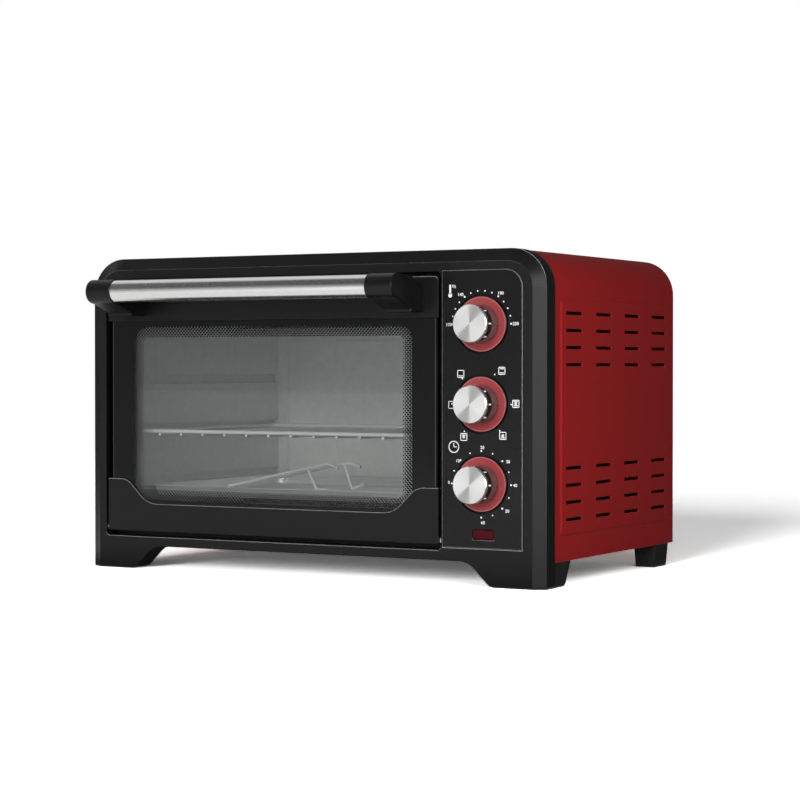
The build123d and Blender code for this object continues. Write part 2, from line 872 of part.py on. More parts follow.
with BuildPart() as cavity_floor:
    with BuildSketch(Plane.XY.offset(cavity_bottom - sheet)):
        with Locations((opening_x, cavity_middle)):
            Rectangle(cavity_width + 2 * sheet, cavity_length)
    extrude(amount=sheet)
    with BuildSketch(facing(rear_heater_depth)):
        with Locations((opening_x, (base_z + sheet + cavity_bottom - sheet) / 2)):
            with GridLocations(cavity_width / 2, 1, 2, 1):
                Rectangle(floor_tab_width, cavity_bottom - base_z - 2 * sheet)
    extrude(amount=sheet)
cavity_floor.part.label = "cavity_floor"
export_step(cavity_floor.part, "parts/cavity_floor.step")

back_emboss_width = cavity_width - 2 * back_emboss_margin
back_emboss_taper = degrees(atan(back_emboss_slope / back_emboss_drop))


def back_emboss(depth):
    """Shallow panel pressed backwards into the cavity's rear wall, from a depth."""
    with BuildPart() as emboss:
        with BuildSketch(facing(depth)):
            with Locations((opening_x, (back_emboss_bottom + back_emboss_top) / 2)):
                RectangleRounded(back_emboss_width, back_emboss_top - back_emboss_bottom, back_emboss_radius)
        extrude(amount=-back_emboss_drop, taper=back_emboss_taper)
    return emboss.part


with BuildPart() as cavity_back:
    with BuildSketch(facing(cavity_rear)):
        with Locations((opening_x, (cavity_bottom + cavity_top_z) / 2)):
            Rectangle(cavity_width + 2 * (channel_depth + sheet), cavity_top_z - cavity_bottom + 2 * sheet)
    extrude(amount=-sheet)
    add(back_emboss(cavity_rear + sheet))
    add(back_emboss(cavity_rear), mode=Mode.SUBTRACT)
cavity_back.part.label = "cavity_back"
export_step(cavity_back.part, "parts/cavity_back.step")

with BuildPart() as cavity_front_flange:
    with BuildSketch(facing(flange_depth)):
        with Locations((opening_x, opening_z)):
            RectangleRounded(opening_width - 2 * seat_gap, opening_height - 2 * seat_gap, opening_corner)
        with Locations((opening_x, (cavity_bottom + cavity_top_z) / 2)):
            Rectangle(cavity_width, cavity_top_z - cavity_bottom, mode=Mode.SUBTRACT)
        for z in channel_heights:
            with Locations((opening_x, z + channel_height / 2)):
                Rectangle(cavity_width + 2 * channel_depth, channel_height, mode=Mode.SUBTRACT)
    extrude(amount=-sheet)
cavity_front_flange.part.label = "cavity_front_flange"
export_step(cavity_front_flange.part, "parts/cavity_front_flange.step")

# Heating tubes across the cavity, with ceramic bushes outside its walls

tube_left = cavity_left - heater_overhang
tube_right = cavity_right + heater_overhang

for level, z in (("lower", lower_heater_z), ("upper", upper_heater_z)):
    for place, depth in (("front", front_heater_depth), ("rear", rear_heater_depth)):
        with BuildPart() as heater:
            with BuildSketch(across(tube_left)):
                with Locations((front_y + depth, z)):
                    Circle(heater_radius)
            extrude(amount=tube_right - tube_left)
            with BuildSketch(across(tube_left - heater_pin)):
                with Locations((front_y + depth, z)):
                    Circle(heater_radius / 3)
            extrude(amount=tube_right - tube_left + 2 * heater_pin)
        heater.part.label = f"heater_{level}_{place}"
        export_step(heater.part, f"parts/heater_{level}_{place}.step")

with BuildPart() as heater_insulators:
    for inner_x in (cavity_left - sheet - ceramic_length, cavity_right + sheet):
        with BuildSketch(across(inner_x)):
            for z in heater_heights:
                for depth in heater_depths:
                    with Locations((front_y + depth, z)):
                        Circle(ceramic_radius)
                        Circle(heater_radius + seat_gap, mode=Mode.SUBTRACT)
        extrude(amount=ceramic_length)
heater_insulators.part.label = "heater_insulators"
export_step(heater_insulators.part, "parts/heater_insulators.step")

# Crumb tray on the cavity floor

with BuildPart() as crumb_tray:
    crumb_length = cavity_length - 2 * crumb_margin
    with BuildSketch(Plane.XY.offset(cavity_bottom)):
        with Locations((opening_x, cavity_middle)):
            Rectangle(cavity_width - 2 * crumb_margin, crumb_length)
    extrude(amount=crumb_height)
    offset(amount=-sheet, openings=crumb_tray.faces().sort_by(Axis.Z)[-1])
crumb_tray.part.label = "crumb_tray"
export_step(crumb_tray.part, "parts/crumb_tray.step")

# Convection fan in the control side, its motor and the terminal block

blade_x = cavity_right + sheet + channel_depth + 2 * turning_gap
motor_x = blade_x + fan_blade_width + motor_gap

with BuildPart() as fan_motor:
    with BuildSketch(across(motor_x)):
        with Locations((front_y + fan_depth, fan_z)):
            Circle(motor_radius)
    extrude(amount=motor_length)
    with BuildSketch(across(motor_x)):
        with Locations((front_y + fan_depth, fan_z)):
            with GridLocations(2 * motor_radius + motor_tab_length / 2, 1, 2, 1):
                Rectangle(motor_tab_length, motor_tab_width)
    extrude(amount=sheet)
    with BuildSketch(Plane.XY.offset(fan_z - motor_tab_width / 2)):
        with Locations(((cavity_right + motor_x) / 2 + sheet, front_y + fan_depth)):
            with GridLocations(1, 2 * (motor_radius + 0.75 * motor_tab_length) - sheet, 1, 2):
                Rectangle(motor_x - cavity_right, sheet)
    extrude(amount=motor_tab_width)
    with BuildSketch(across(motor_x)):
        with Locations((front_y + fan_depth, fan_z)):
            Circle(fan_shaft_radius + running_gap)
    extrude(amount=shaft_bite, mode=Mode.SUBTRACT)
fan_motor.part.label = "fan_motor"
export_step(fan_motor.part, "parts/fan_motor.step")

with BuildPart() as fan_blade:
    with BuildSketch(across(blade_x)):
        with Locations((front_y + fan_depth, fan_z)):
            Circle(fan_radius * 0.25)
            with PolarLocations(fan_radius * 0.42, fan_blades):
                Rectangle(fan_radius * 0.5, sheet)
    extrude(amount=fan_blade_width)
    with BuildSketch(across(blade_x + fan_blade_width - sheet)):
        with Locations((front_y + fan_depth, fan_z)):
            Circle(fan_radius * 0.68)
    extrude(amount=sheet)
    with BuildSketch(across(blade_x)):
        with Locations((front_y + fan_depth, fan_z)):
            Circle(fan_shaft_radius)
    extrude(amount=motor_x - blade_x + shaft_bite - seat_gap)
fan_blade.part.label = "fan_blade"
export_step(fan_blade.part, "parts/fan_blade.step")

with BuildPart() as terminal_block:
    block_place = (gland_x, front_y + case_depth - terminal_block_inset)
    with BuildSketch(Plane.XY.offset(base_z + sheet)):
        with Locations(block_place):
            Rectangle(terminal_block_length, terminal_block_width)
    extrude(amount=terminal_block_height)
    with BuildSketch(Plane.XY.offset(base_z + sheet + terminal_block_height)):
        with Locations(block_place):
            with GridLocations(terminal_pitch, terminal_block_width / 2, 3, 2):
                Circle(terminal_hole)
    extrude(amount=-terminal_hole_depth, mode=Mode.SUBTRACT)
terminal_block.part.label = "terminal_block"
export_step(terminal_block.part, "parts/terminal_block.step")

# Door covers: folded channels along the glass's upper and lower edges

door_left = opening_x - door_width / 2
door_right = opening_x + door_width / 2
top_cover_bottom = door_top - top_cover_height
bracket_x = (handle_length - bracket_width) / 2


def top_cover_outline(plane, inset):
    """Front outline of the door's top cover, drawn in by an inset."""
    with BuildSketch(plane) as outline:
        with Locations((opening_x, door_top - top_cover_height / 2)):
            Rectangle(door_width - 2 * inset, top_cover_height - 2 * inset)
        fillet(outline.vertices().group_by(Axis.Y)[-1], cover_corner - inset)
    return outline.sketch


def lower_cover_outline(plane, inset):
    """Front outline of the door's lower cover: a low middle that sweeps up to a tab at each end."""
    middle = door_bottom + lower_cover_height
    tab = door_bottom + lower_tab_height
    tab_right = door_width / 2 - tab_width
    sweep_run = lower_tab_height - lower_cover_height
    with BuildSketch(plane) as outline:
        with BuildLine():
            Polyline(
                (door_left, door_bottom),
                (door_left, tab),
                (opening_x - tab_right, tab),
                (opening_x - tab_right + sweep_run, middle),
                (opening_x + tab_right - sweep_run, middle),
                (opening_x + tab_right, tab),
                (door_right, tab),
                (door_right, door_bottom),
                close=True,
            )
        make_face()
        fillet(outline.vertices().filter_by(lambda v: abs(v.Y - middle) < 1e-3), tab_lower_radius)
        inner = outline.vertices().filter_by(lambda v: abs(v.X - opening_x) < tab_right + 1)
        fillet(inner.group_by(Axis.Y)[-1], tab_upper_radius)
        if inset:
            offset(amount=-inset)
    return outline.sketch


def handle_screw_places():
    """Centres of the two handle screws on a plane that faces the user."""
    screw_z = (top_cover_bottom + handle_z) / 2
    return [(opening_x - bracket_x, screw_z), (opening_x + bracket_x, screw_z)]


with BuildPart() as door_top_cover:
    extrude(to_extrude=top_cover_outline(facing(0), 0), amount=-door_depth)
    extrude(
        to_extrude=top_cover_outline(facing(cover_wall), cover_wall),
        amount=cover_wall - door_depth,
        mode=Mode.SUBTRACT,
    )
    with BuildSketch(facing(cover_wall)):
        with Locations((opening_x, top_cover_bottom + cover_wall / 2)):
            Rectangle(door_width - 2 * glass_inset + 2 * seat_gap, cover_wall)
    extrude(amount=cover_wall - door_depth, mode=Mode.SUBTRACT)
    with BuildSketch(facing(0)):
        with Locations(*handle_screw_places()):
            Circle(screw_radius + seat_gap)
    extrude(amount=-cover_wall, mode=Mode.SUBTRACT)
door_top_cover.part.label = "door_top_cover"
export_step(door_top_cover.part, "parts/door_top_cover.step")

with BuildPart() as door_lower_cover:
    extrude(to_extrude=lower_cover_outline(facing(0), 0), amount=-door_depth)
    extrude(
        to_extrude=lower_cover_outline(facing(cover_wall), cover_wall),
        amount=cover_wall - door_depth,
        mode=Mode.SUBTRACT,
    )
    with BuildSketch(facing(cover_wall)):
        with Locations((opening_x, door_bottom + lower_tab_height / 2 + glass_bite)):
            Rectangle(door_width - 2 * glass_inset + 2 * seat_gap, lower_tab_height)
    extrude(amount=cover_wall - door_depth, mode=Mode.SUBTRACT)
    with BuildSketch(facing(0)):
        with Locations((opening_x, door_bottom + hinge_block_height / 2)):
            with GridLocations(door_width - hinge_block_width, 1, 2, 1):
                Rectangle(hinge_block_width, hinge_block_height)
    extrude(amount=-2 * hinge_depth)
    with BuildSketch(across(door_left)):
        with Locations((front_y + hinge_depth, hinge_z)):
            Circle(pin_radius)
    extrude(amount=door_width, mode=Mode.SUBTRACT)
door_lower_cover.part.label = "door_lower_cover"
export_step(door_lower_cover.part, "parts/door_lower_cover.step")

# Door glass between the covers, drilled for the handle screws

glass_bottom = door_bottom + glass_bite
glass_top = door_top - glass_bite

with BuildPart() as door_glass:
    with BuildSketch(facing(glass_depth)):
        with Locations((opening_x, (glass_bottom + glass_top) / 2)):
            RectangleRounded(door_width - 2 * glass_inset, glass_top - glass_bottom, glass_corner)
        with Locations(*handle_screw_places()):
            Circle(screw_radius + glass_hole_gap, mode=Mode.SUBTRACT)
    extrude(amount=-glass_thickness)
door_glass.part.label = "door_glass"
export_step(door_glass.part, "parts/door_glass.step")

# Hinge pins: pressed into the lower cover's ends, turning in the frame's collar

pin_bite = pin_length - door_side_gap - frame_wall

with BuildPart() as door_hinge_pins:
    for start in (door_left + pin_bite - pin_length, door_right - pin_bite):
        with BuildSketch(across(start)):
            with Locations((front_y + hinge_depth, hinge_z)):
                Circle(pin_radius)
        extrude(amount=pin_length)
door_hinge_pins.part.label = "door_hinge_pins"
export_step(door_hinge_pins.part, "parts/door_hinge_pins.step")

# Hinge brackets: small steel plates behind the collar that back up the pins

hinge_front = frame_wall + hinge_plate_setback

for side, x in (("left", opening_left - frame_wall - 2 * sheet), ("right", opening_right + frame_wall)):
    with BuildPart() as hinge_bracket:
        with BuildSketch(across(x)):
            with Locations((front_y + (hinge_front + frame_depth) / 2, hinge_z + hinge_plate_rise)):
                Rectangle(frame_depth - hinge_front, hinge_plate_height)
            with Locations((front_y + hinge_depth, hinge_z)):
                Circle(pin_radius + seat_gap, mode=Mode.SUBTRACT)
        extrude(amount=2 * sheet)
    hinge_bracket.part.label = f"hinge_bracket_{side}"
    export_step(hinge_bracket.part, f"parts/hinge_bracket_{side}.step")

# Handle: steel tube between two moulded brackets that reach out from the top cover

tube_length = handle_length - 2 * bracket_width

with BuildPart() as handle_bar:
    with BuildSketch(across(opening_x - tube_length / 2)):
        with Locations((front_y + handle_depth, handle_z)):
            Circle(handle_radius)
            Circle(handle_radius - handle_wall, mode=Mode.SUBTRACT)
    extrude(amount=tube_length)
handle_bar.part.label = "handle_bar"
export_step(handle_bar.part, "parts/handle_bar.step")

arm_tip = 21.0
arm_shoulder = 19.0
arm_base_top = 255.5
arm_base_bottom = 236.0
shoulder_z = 267.0
bracket_round = 1.5

for side, direction in (("left", -1), ("right", 1)):
    with BuildPart() as handle_bracket:
        inner_x = opening_x + direction * tube_length / 2
        start_x = min(inner_x, inner_x + direction * bracket_width)
        with BuildSketch(across(start_x)) as profile:
            with BuildLine():
                Polyline(
                    (front_y, arm_base_top),
                    (front_y - arm_shoulder, shoulder_z),
                    (front_y + handle_depth, handle_z + bracket_radius),
                    (front_y + handle_depth - bracket_radius / 2, handle_z - bracket_radius * 0.86),
                    (front_y - 1.6 * arm_tip, arm_base_bottom + 7.5),
                    (front_y - arm_tip, arm_base_bottom + 2.5),
                    (front_y - arm_tip, arm_base_bottom),
                    (front_y, arm_base_bottom),
                    close=True,
                )
            make_face()
            with Locations((front_y + handle_depth, handle_z)):
                Circle(bracket_radius)
        extrude(amount=bracket_width)
        outer_face = handle_bracket.faces().sort_by(Axis.X)[-1 if direction > 0 else 0]
        rear_limit = front_y - seat_gap
        fillet(outer_face.edges().filter_by_position(Axis.Y, front_y - 2 * handle_reach, rear_limit), bracket_round)
        spigot_start = min(inner_x, inner_x - direction * spigot_length)
        with BuildSketch(across(spigot_start)):
            with Locations((front_y + handle_depth, handle_z)):
                Circle(handle_radius - handle_wall - seat_gap / 3)
        extrude(amount=spigot_length)
        with BuildSketch(facing(0)):
            with Locations(*handle_screw_places()):
                Circle(screw_radius)
        extrude(amount=screw_grip, mode=Mode.SUBTRACT)
    handle_bracket.part.label = f"handle_bracket_{side}"
    export_step(handle_bracket.part, f"parts/handle_bracket_{side}.step")

screw_seat = glass_depth + glass_thickness

with BuildPart() as handle_screws:
    with BuildSketch(facing(screw_seat)):
        with Locations(*handle_screw_places()):
            Circle(screw_head_radius)
    extrude(amount=-screw_head_height)
    with BuildSketch(facing(screw_seat)):
        with Locations(*handle_screw_places()):
            Circle(screw_radius)
    extrude(amount=screw_seat + screw_grip - 1)
handle_screws.part.label = "handle_screws"
export_step(handle_screws.part, "parts/handle_screws.step")

# Case screws: pan heads on the back panel

case_screw_head = 3.4
case_screw_height = 1.6
case_screw_spread = 213.0
case_screw_pitch = 90.0
case_screw_middle = 105.0
case_screw_drop = 8.0

with BuildPart() as case_screws:
    with BuildSketch(facing(back_depth)):
        with Locations((0, case_screw_middle)):
            with GridLocations(2 * case_screw_spread, case_screw_pitch, 2, 2):
                Circle(case_screw_head)
        with Locations((0, shell_top - case_screw_drop)):
            with GridLocations(case_screw_spread, 1, 2, 1):
                Circle(case_screw_head)
    extrude(amount=-case_screw_height)
case_screws.part.label = "case_screws"
export_step(case_screws.part, "parts/case_screws.step")

# Wire rack: rounded frame wire with rods welded under it

rack_z = rack_channel_z + rack_wire + seat_gap
rack_width = cavity_width + 2 * channel_depth - 2 * rack_wire - 2 * turning_gap
rack_middle = front_y + (rack_front + rack_rear) / 2
rod_z = rack_z - rack_wire - rack_rod + weld

with BuildPart() as wire_rack:
    half_x = rack_width / 2
    half_y = (rack_rear - rack_front) / 2
    with BuildLine(Plane(origin=(opening_x, rack_middle, rack_z))) as rack_path:
        Line((-half_x + rack_corner, -half_y), (half_x - rack_corner, -half_y))
        RadiusArc((half_x - rack_corner, -half_y), (half_x, -half_y + rack_corner), -rack_corner)
        Line((half_x, -half_y + rack_corner), (half_x, half_y - rack_corner))
        RadiusArc((half_x, half_y - rack_corner), (half_x - rack_corner, half_y), -rack_corner)
        Line((half_x - rack_corner, half_y), (-half_x + rack_corner, half_y))
        RadiusArc((-half_x + rack_corner, half_y), (-half_x, half_y - rack_corner), -rack_corner)
        Line((-half_x, half_y - rack_corner), (-half_x, -half_y + rack_corner))
        RadiusArc((-half_x, -half_y + rack_corner), (-half_x + rack_corner, -half_y), -rack_corner)
    with BuildSketch(Plane(origin=rack_path.line @ 0, z_dir=rack_path.line % 0)):
        Circle(rack_wire)
    sweep(path=rack_path.line)
    with BuildSketch(facing(rack_front)):
        with Locations((opening_x, rod_z)):
            with GridLocations(rack_pitch, 1, rack_rods, 1):
                Circle(rack_rod)
    extrude(amount=rack_front - rack_rear)
    bar_length = (rack_rods - 1) * rack_pitch + 2 * rack_rod
    with BuildSketch(across(opening_x - bar_length / 2)):
        with Locations((rack_middle, rod_z - 2 * rack_rod + weld)):
            Circle(rack_rod)
    extrude(amount=bar_length)
wire_rack.part.label = "wire_rack"
export_step(wire_rack.part, "parts/wire_rack.step")

# Baking tray: shallow pressed tray whose rim slides in the lowest channels

tray_rim_top = tray_channel_z + seat_gap + sheet
tray_middle = front_y + (tray_front + tray_rear) / 2
tray_width = cavity_width - 2 * tray_rim
tray_length = tray_rear - tray_front - 2 * tray_rim


def tray_bowl(inset, height):
    """Sloping-sided body of the tray, from its rim down by a height."""
    with BuildPart() as bowl:
        with BuildSketch(Plane.XY.offset(tray_rim_top)):
            with Locations((opening_x, tray_middle)):
                RectangleRounded(tray_width - 2 * inset, tray_length - 2 * inset, tray_corner - inset)
        extrude(amount=-height, taper=tray_slope)
    return bowl.part


with BuildPart() as baking_tray:
    with BuildSketch(Plane.XY.offset(tray_rim_top)):
        with Locations((opening_x, tray_middle)):
            RectangleRounded(
                cavity_width + 2 * channel_depth - 2 * turning_gap, tray_rear - tray_front, tray_corner + tray_rim
            )
    extrude(amount=-sheet)
    add(tray_bowl(0, tray_height))
    add(tray_bowl(sheet, tray_height - sheet), mode=Mode.SUBTRACT)
baking_tray.part.label = "baking_tray"
export_step(baking_tray.part, "parts/baking_tray.step")

# Tray tool: bent wire handle that stands in the tray

tray_floor_z = tray_rim_top - tray_height + sheet
tool_floor = tray_floor_z + tool_wire + seat_gap
tool_front = 138.0
tool_gap = 14.0
tool_grip_x = -176.0
tool_hook_x = -47.0
tool_raise = 25.0
tool_bend = 5.0

with BuildPart() as tray_tool:
    front = front_y + tool_front
    rear = front + tool_gap
    hook_z = tool_floor + tool_raise
    with BuildLine() as arms:
        FilletPolyline(
            (tool_hook_x, front, hook_z - 4),
            (tool_hook_x - 12, front, hook_z),
            (tool_grip_x, front, tool_floor),
            (tool_grip_x, rear, tool_floor),
            (tool_hook_x + 4, rear, hook_z + 1),
            (tool_hook_x + 16, rear, hook_z - 3),
            radius=tool_bend,
        )
    with BuildSketch(Plane(origin=arms.line @ 0, z_dir=arms.line % 0)):
        Circle(tool_wire)
    sweep(path=arms.line)
    for y, x in ((front, tool_hook_x - 34), (rear, tool_hook_x - 2)):
        top_z = tool_floor + tool_raise * (x - tool_grip_x) / (tool_hook_x - tool_grip_x)
        with BuildLine() as leg:
            FilletPolyline(
                (x, y, top_z - weld), (x + 9, y, tool_floor), (x + 22, y, tool_floor + 6 * (y > front)), radius=3
            )
        with BuildSketch(Plane(origin=leg.line @ 0, z_dir=leg.line % 0)):
            Circle(tool_wire * 0.9)
        sweep(path=leg.line)
tray_tool.part.label = "tray_tool"
export_step(tray_tool.part, "parts/tray_tool.step")
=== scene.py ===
from math import cos, pi, radians, sin

import bpy
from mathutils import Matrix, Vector


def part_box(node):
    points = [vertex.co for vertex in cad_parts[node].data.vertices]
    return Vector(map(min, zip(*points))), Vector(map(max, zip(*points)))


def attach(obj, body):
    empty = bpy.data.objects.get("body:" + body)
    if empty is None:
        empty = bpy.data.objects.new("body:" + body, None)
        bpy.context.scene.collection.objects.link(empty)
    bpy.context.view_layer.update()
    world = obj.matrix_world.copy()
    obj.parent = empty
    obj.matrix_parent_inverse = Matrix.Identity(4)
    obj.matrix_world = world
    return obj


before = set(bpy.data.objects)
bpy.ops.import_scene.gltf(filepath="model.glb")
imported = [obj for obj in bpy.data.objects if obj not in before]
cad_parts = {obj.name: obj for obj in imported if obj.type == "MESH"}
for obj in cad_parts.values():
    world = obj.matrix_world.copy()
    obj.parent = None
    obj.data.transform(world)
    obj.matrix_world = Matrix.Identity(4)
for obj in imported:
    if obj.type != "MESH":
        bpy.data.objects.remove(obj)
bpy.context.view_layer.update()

bl_info = {
    "name": "Countertop Oven Finishes",
    "version": (1, 0, 0),
    "blender": (4, 5, 0),
    "location": "3D View > Sidebar > Oven",
    "description": "Finishes, printed dials and studio for a countertop oven with a drop-down glass door",
    "category": "Object",
}

MM = 0.001


def middle(node):
    """Centre of a CAD node's box."""
    low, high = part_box(node)
    return (low + high) / 2


panel_low, panel_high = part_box("control_panel")
glass_low, glass_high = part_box("door_glass")
print_face = panel_low.y
window = (-191 * MM, 110 * MM, 64 * MM, 226 * MM)
dial_centre = {control: middle(f"{control}_ring") for control in ("temperature", "function", "timer")}


# What a user would change


def colour_property(name, description, default):
    return bpy.props.FloatVectorProperty(
        name=name, description=description, default=default, size=3, min=0, max=1, subtype="COLOR"
    )


def length_property(name, description, default):
    return bpy.props.FloatProperty(
        name=name, description=description, default=default, min=0, soft_max=0.1, unit="LENGTH", precision=5
    )


def level_property(name, description, default):
    return bpy.props.FloatProperty(name=name, description=description, default=default, min=0, soft_max=10)


def angle_property(name, description, degrees):
    return bpy.props.FloatProperty(name=name, description=description, default=radians(degrees), subtype="ANGLE")


class OvenColours(bpy.types.PropertyGroup):
    moulding: colour_property("Black moulding", "Front frame, door covers, handle brackets", (0.0055, 0.0055, 0.006))
    panel: colour_property("Black panel", "Gloss plate behind the knobs", (0.004, 0.004, 0.0045))
    paint: colour_property("Red paint", "Wrapped shell and back panel", (0.25, 0.009, 0.0095))
    ring: colour_property("Red ring", "Dished rings behind the knobs", (0.24, 0.041, 0.044))
    lens: colour_property("Red lens", "Indicator lens", (0.038, 0.001, 0.0035))
    ink: colour_property("Ink", "Printed numbers and signs", (0.8, 0.8, 0.8))
    steel: colour_property("Steel", "Handle tube, caps and screws", (0.8, 0.8, 0.79))
    chrome: colour_property("Chrome", "Knob sides, wire rack and tray tool", (0.78, 0.78, 0.79))
    cavity: colour_property("Cavity steel", "Aluminised cavity walls", (0.8, 0.815, 0.807))
    zinc: colour_property("Zinc plating", "Hidden brackets and base plate", (0.46, 0.47, 0.46))
    foot: colour_property("Foot plastic", "Feet, gland and wall spacers", (0.013, 0.013, 0.014))
    # Painted highlight colour, laid on the edges of the mouldings and the panel
    painted_edge_highlight: colour_property("Edge shine", "Where worn moulded edges catch the light", (0.5, 0.5, 0.51))
    floor: colour_property("Floor", "Studio floor as it lights the oven", (0.9, 0.9, 0.91))


class OvenSizes(bpy.types.PropertyGroup):
    dot_radius: length_property("Dot radius", "Radius of a dial's printed dots", 0.64 * MM)
    dial_radius: length_property("Dial radius", "Radius of the circle that the dots stand on", 28.5 * MM)
    digit_height: length_property("Digit height", "Height of the printed numbers", 2.7 * MM)
    sign_size: length_property("Sign size", "Side of the printed function signs", 6.0 * MM)
    line_width: length_property("Line width", "Width of the printed lines", 0.6 * MM)
    ink_depth: length_property("Ink depth", "Thickness of the print", 0.06 * MM)
    frit_pitch: length_property("Dot screen pitch", "Spacing of the dots printed round the window", 3.4 * MM)
    frit_width: length_property("Dot screen width", "Width of the dotted border round the window", 10.0 * MM)
    window_radius: length_property("Window corner", "Corner radius of the printed window", 15.0 * MM)
    edge_radius: length_property("Edge radius", "Rounding of the moulded edges", 0.7 * MM)
    brush_pitch: length_property("Brush pitch", "Spacing of the brushed lines on steel", 0.06 * MM)


class OvenStudio(bpy.types.PropertyGroup):
    floor_seen: level_property("Floor, seen", "White level of the floor in the picture", 3.2)
    floor_mirrored: level_property("Floor, mirrored", "White level of the floor in reflections", 1.9)
    key_energy: level_property("Key energy", "Strength of the sun in front", 1.95)
    fill_energy: level_property("Side fill energy", "Power of the lamp beside the red shell", 2.4)
    window_energy: level_property("Window light energy", "Power of the lamp that shines through the door", 5.0)
    key_azimuth: angle_property("Key azimuth", "Turn of the sun towards the controls", 5)
    key_elevation: angle_property("Key elevation", "Height of the sun", 17)
    key_angle: angle_property("Key angle", "Width of the sun, which softens the shadow", 18)


# Material building


class Number:
    """A shader value: arithmetic on it adds Math nodes to its finish."""

    def __init__(self, finish, socket):
        self.finish = finish
        self.socket = socket

    def math(self, operation, *values, clamp=False):
        inputs = dict(enumerate(values))
        return self.finish.node("ShaderNodeMath", {"operation": operation, "use_clamp": clamp}, inputs)

    def __add__(self, other):
        return self.math("ADD", self, other)

    def __radd__(self, other):
        return self.math("ADD", other, self)

    def __sub__(self, other):
        return self.math("SUBTRACT", self, other)

    def __rsub__(self, other):
        return self.math("SUBTRACT", other, self)

    def __mul__(self, other):
        return self.math("MULTIPLY", self, other)

    def __rmul__(self, other):
        return self.math("MULTIPLY", other, self)

    def __truediv__(self, other):
        return self.math("DIVIDE", self, other)

    def __abs__(self):
        return self.math("ABSOLUTE", self)

    def __lt__(self, other):
        return self.math("LESS_THAN", self, other)

    def __gt__(self, other):
        return self.math("GREATER_THAN", self, other)

    def max(self, other):
        return self.math("MAXIMUM", self, other)

    def min(self, other):
        return self.math("MINIMUM", self, other)

    def sine(self):
        return self.math("SINE", self)

    def root(self):
        return self.math("SQRT", self)

    def ramp(self, low, high, start=0.0, end=1.0):
        """Smooth change from start to end while the value goes from low to high."""
        inputs = {"Value": self, "From Min": low, "From Max": high, "To Min": start, "To Max": end}
        return self.finish.node("ShaderNodeMapRange", {"interpolation_type": "SMOOTHSTEP"}, inputs)


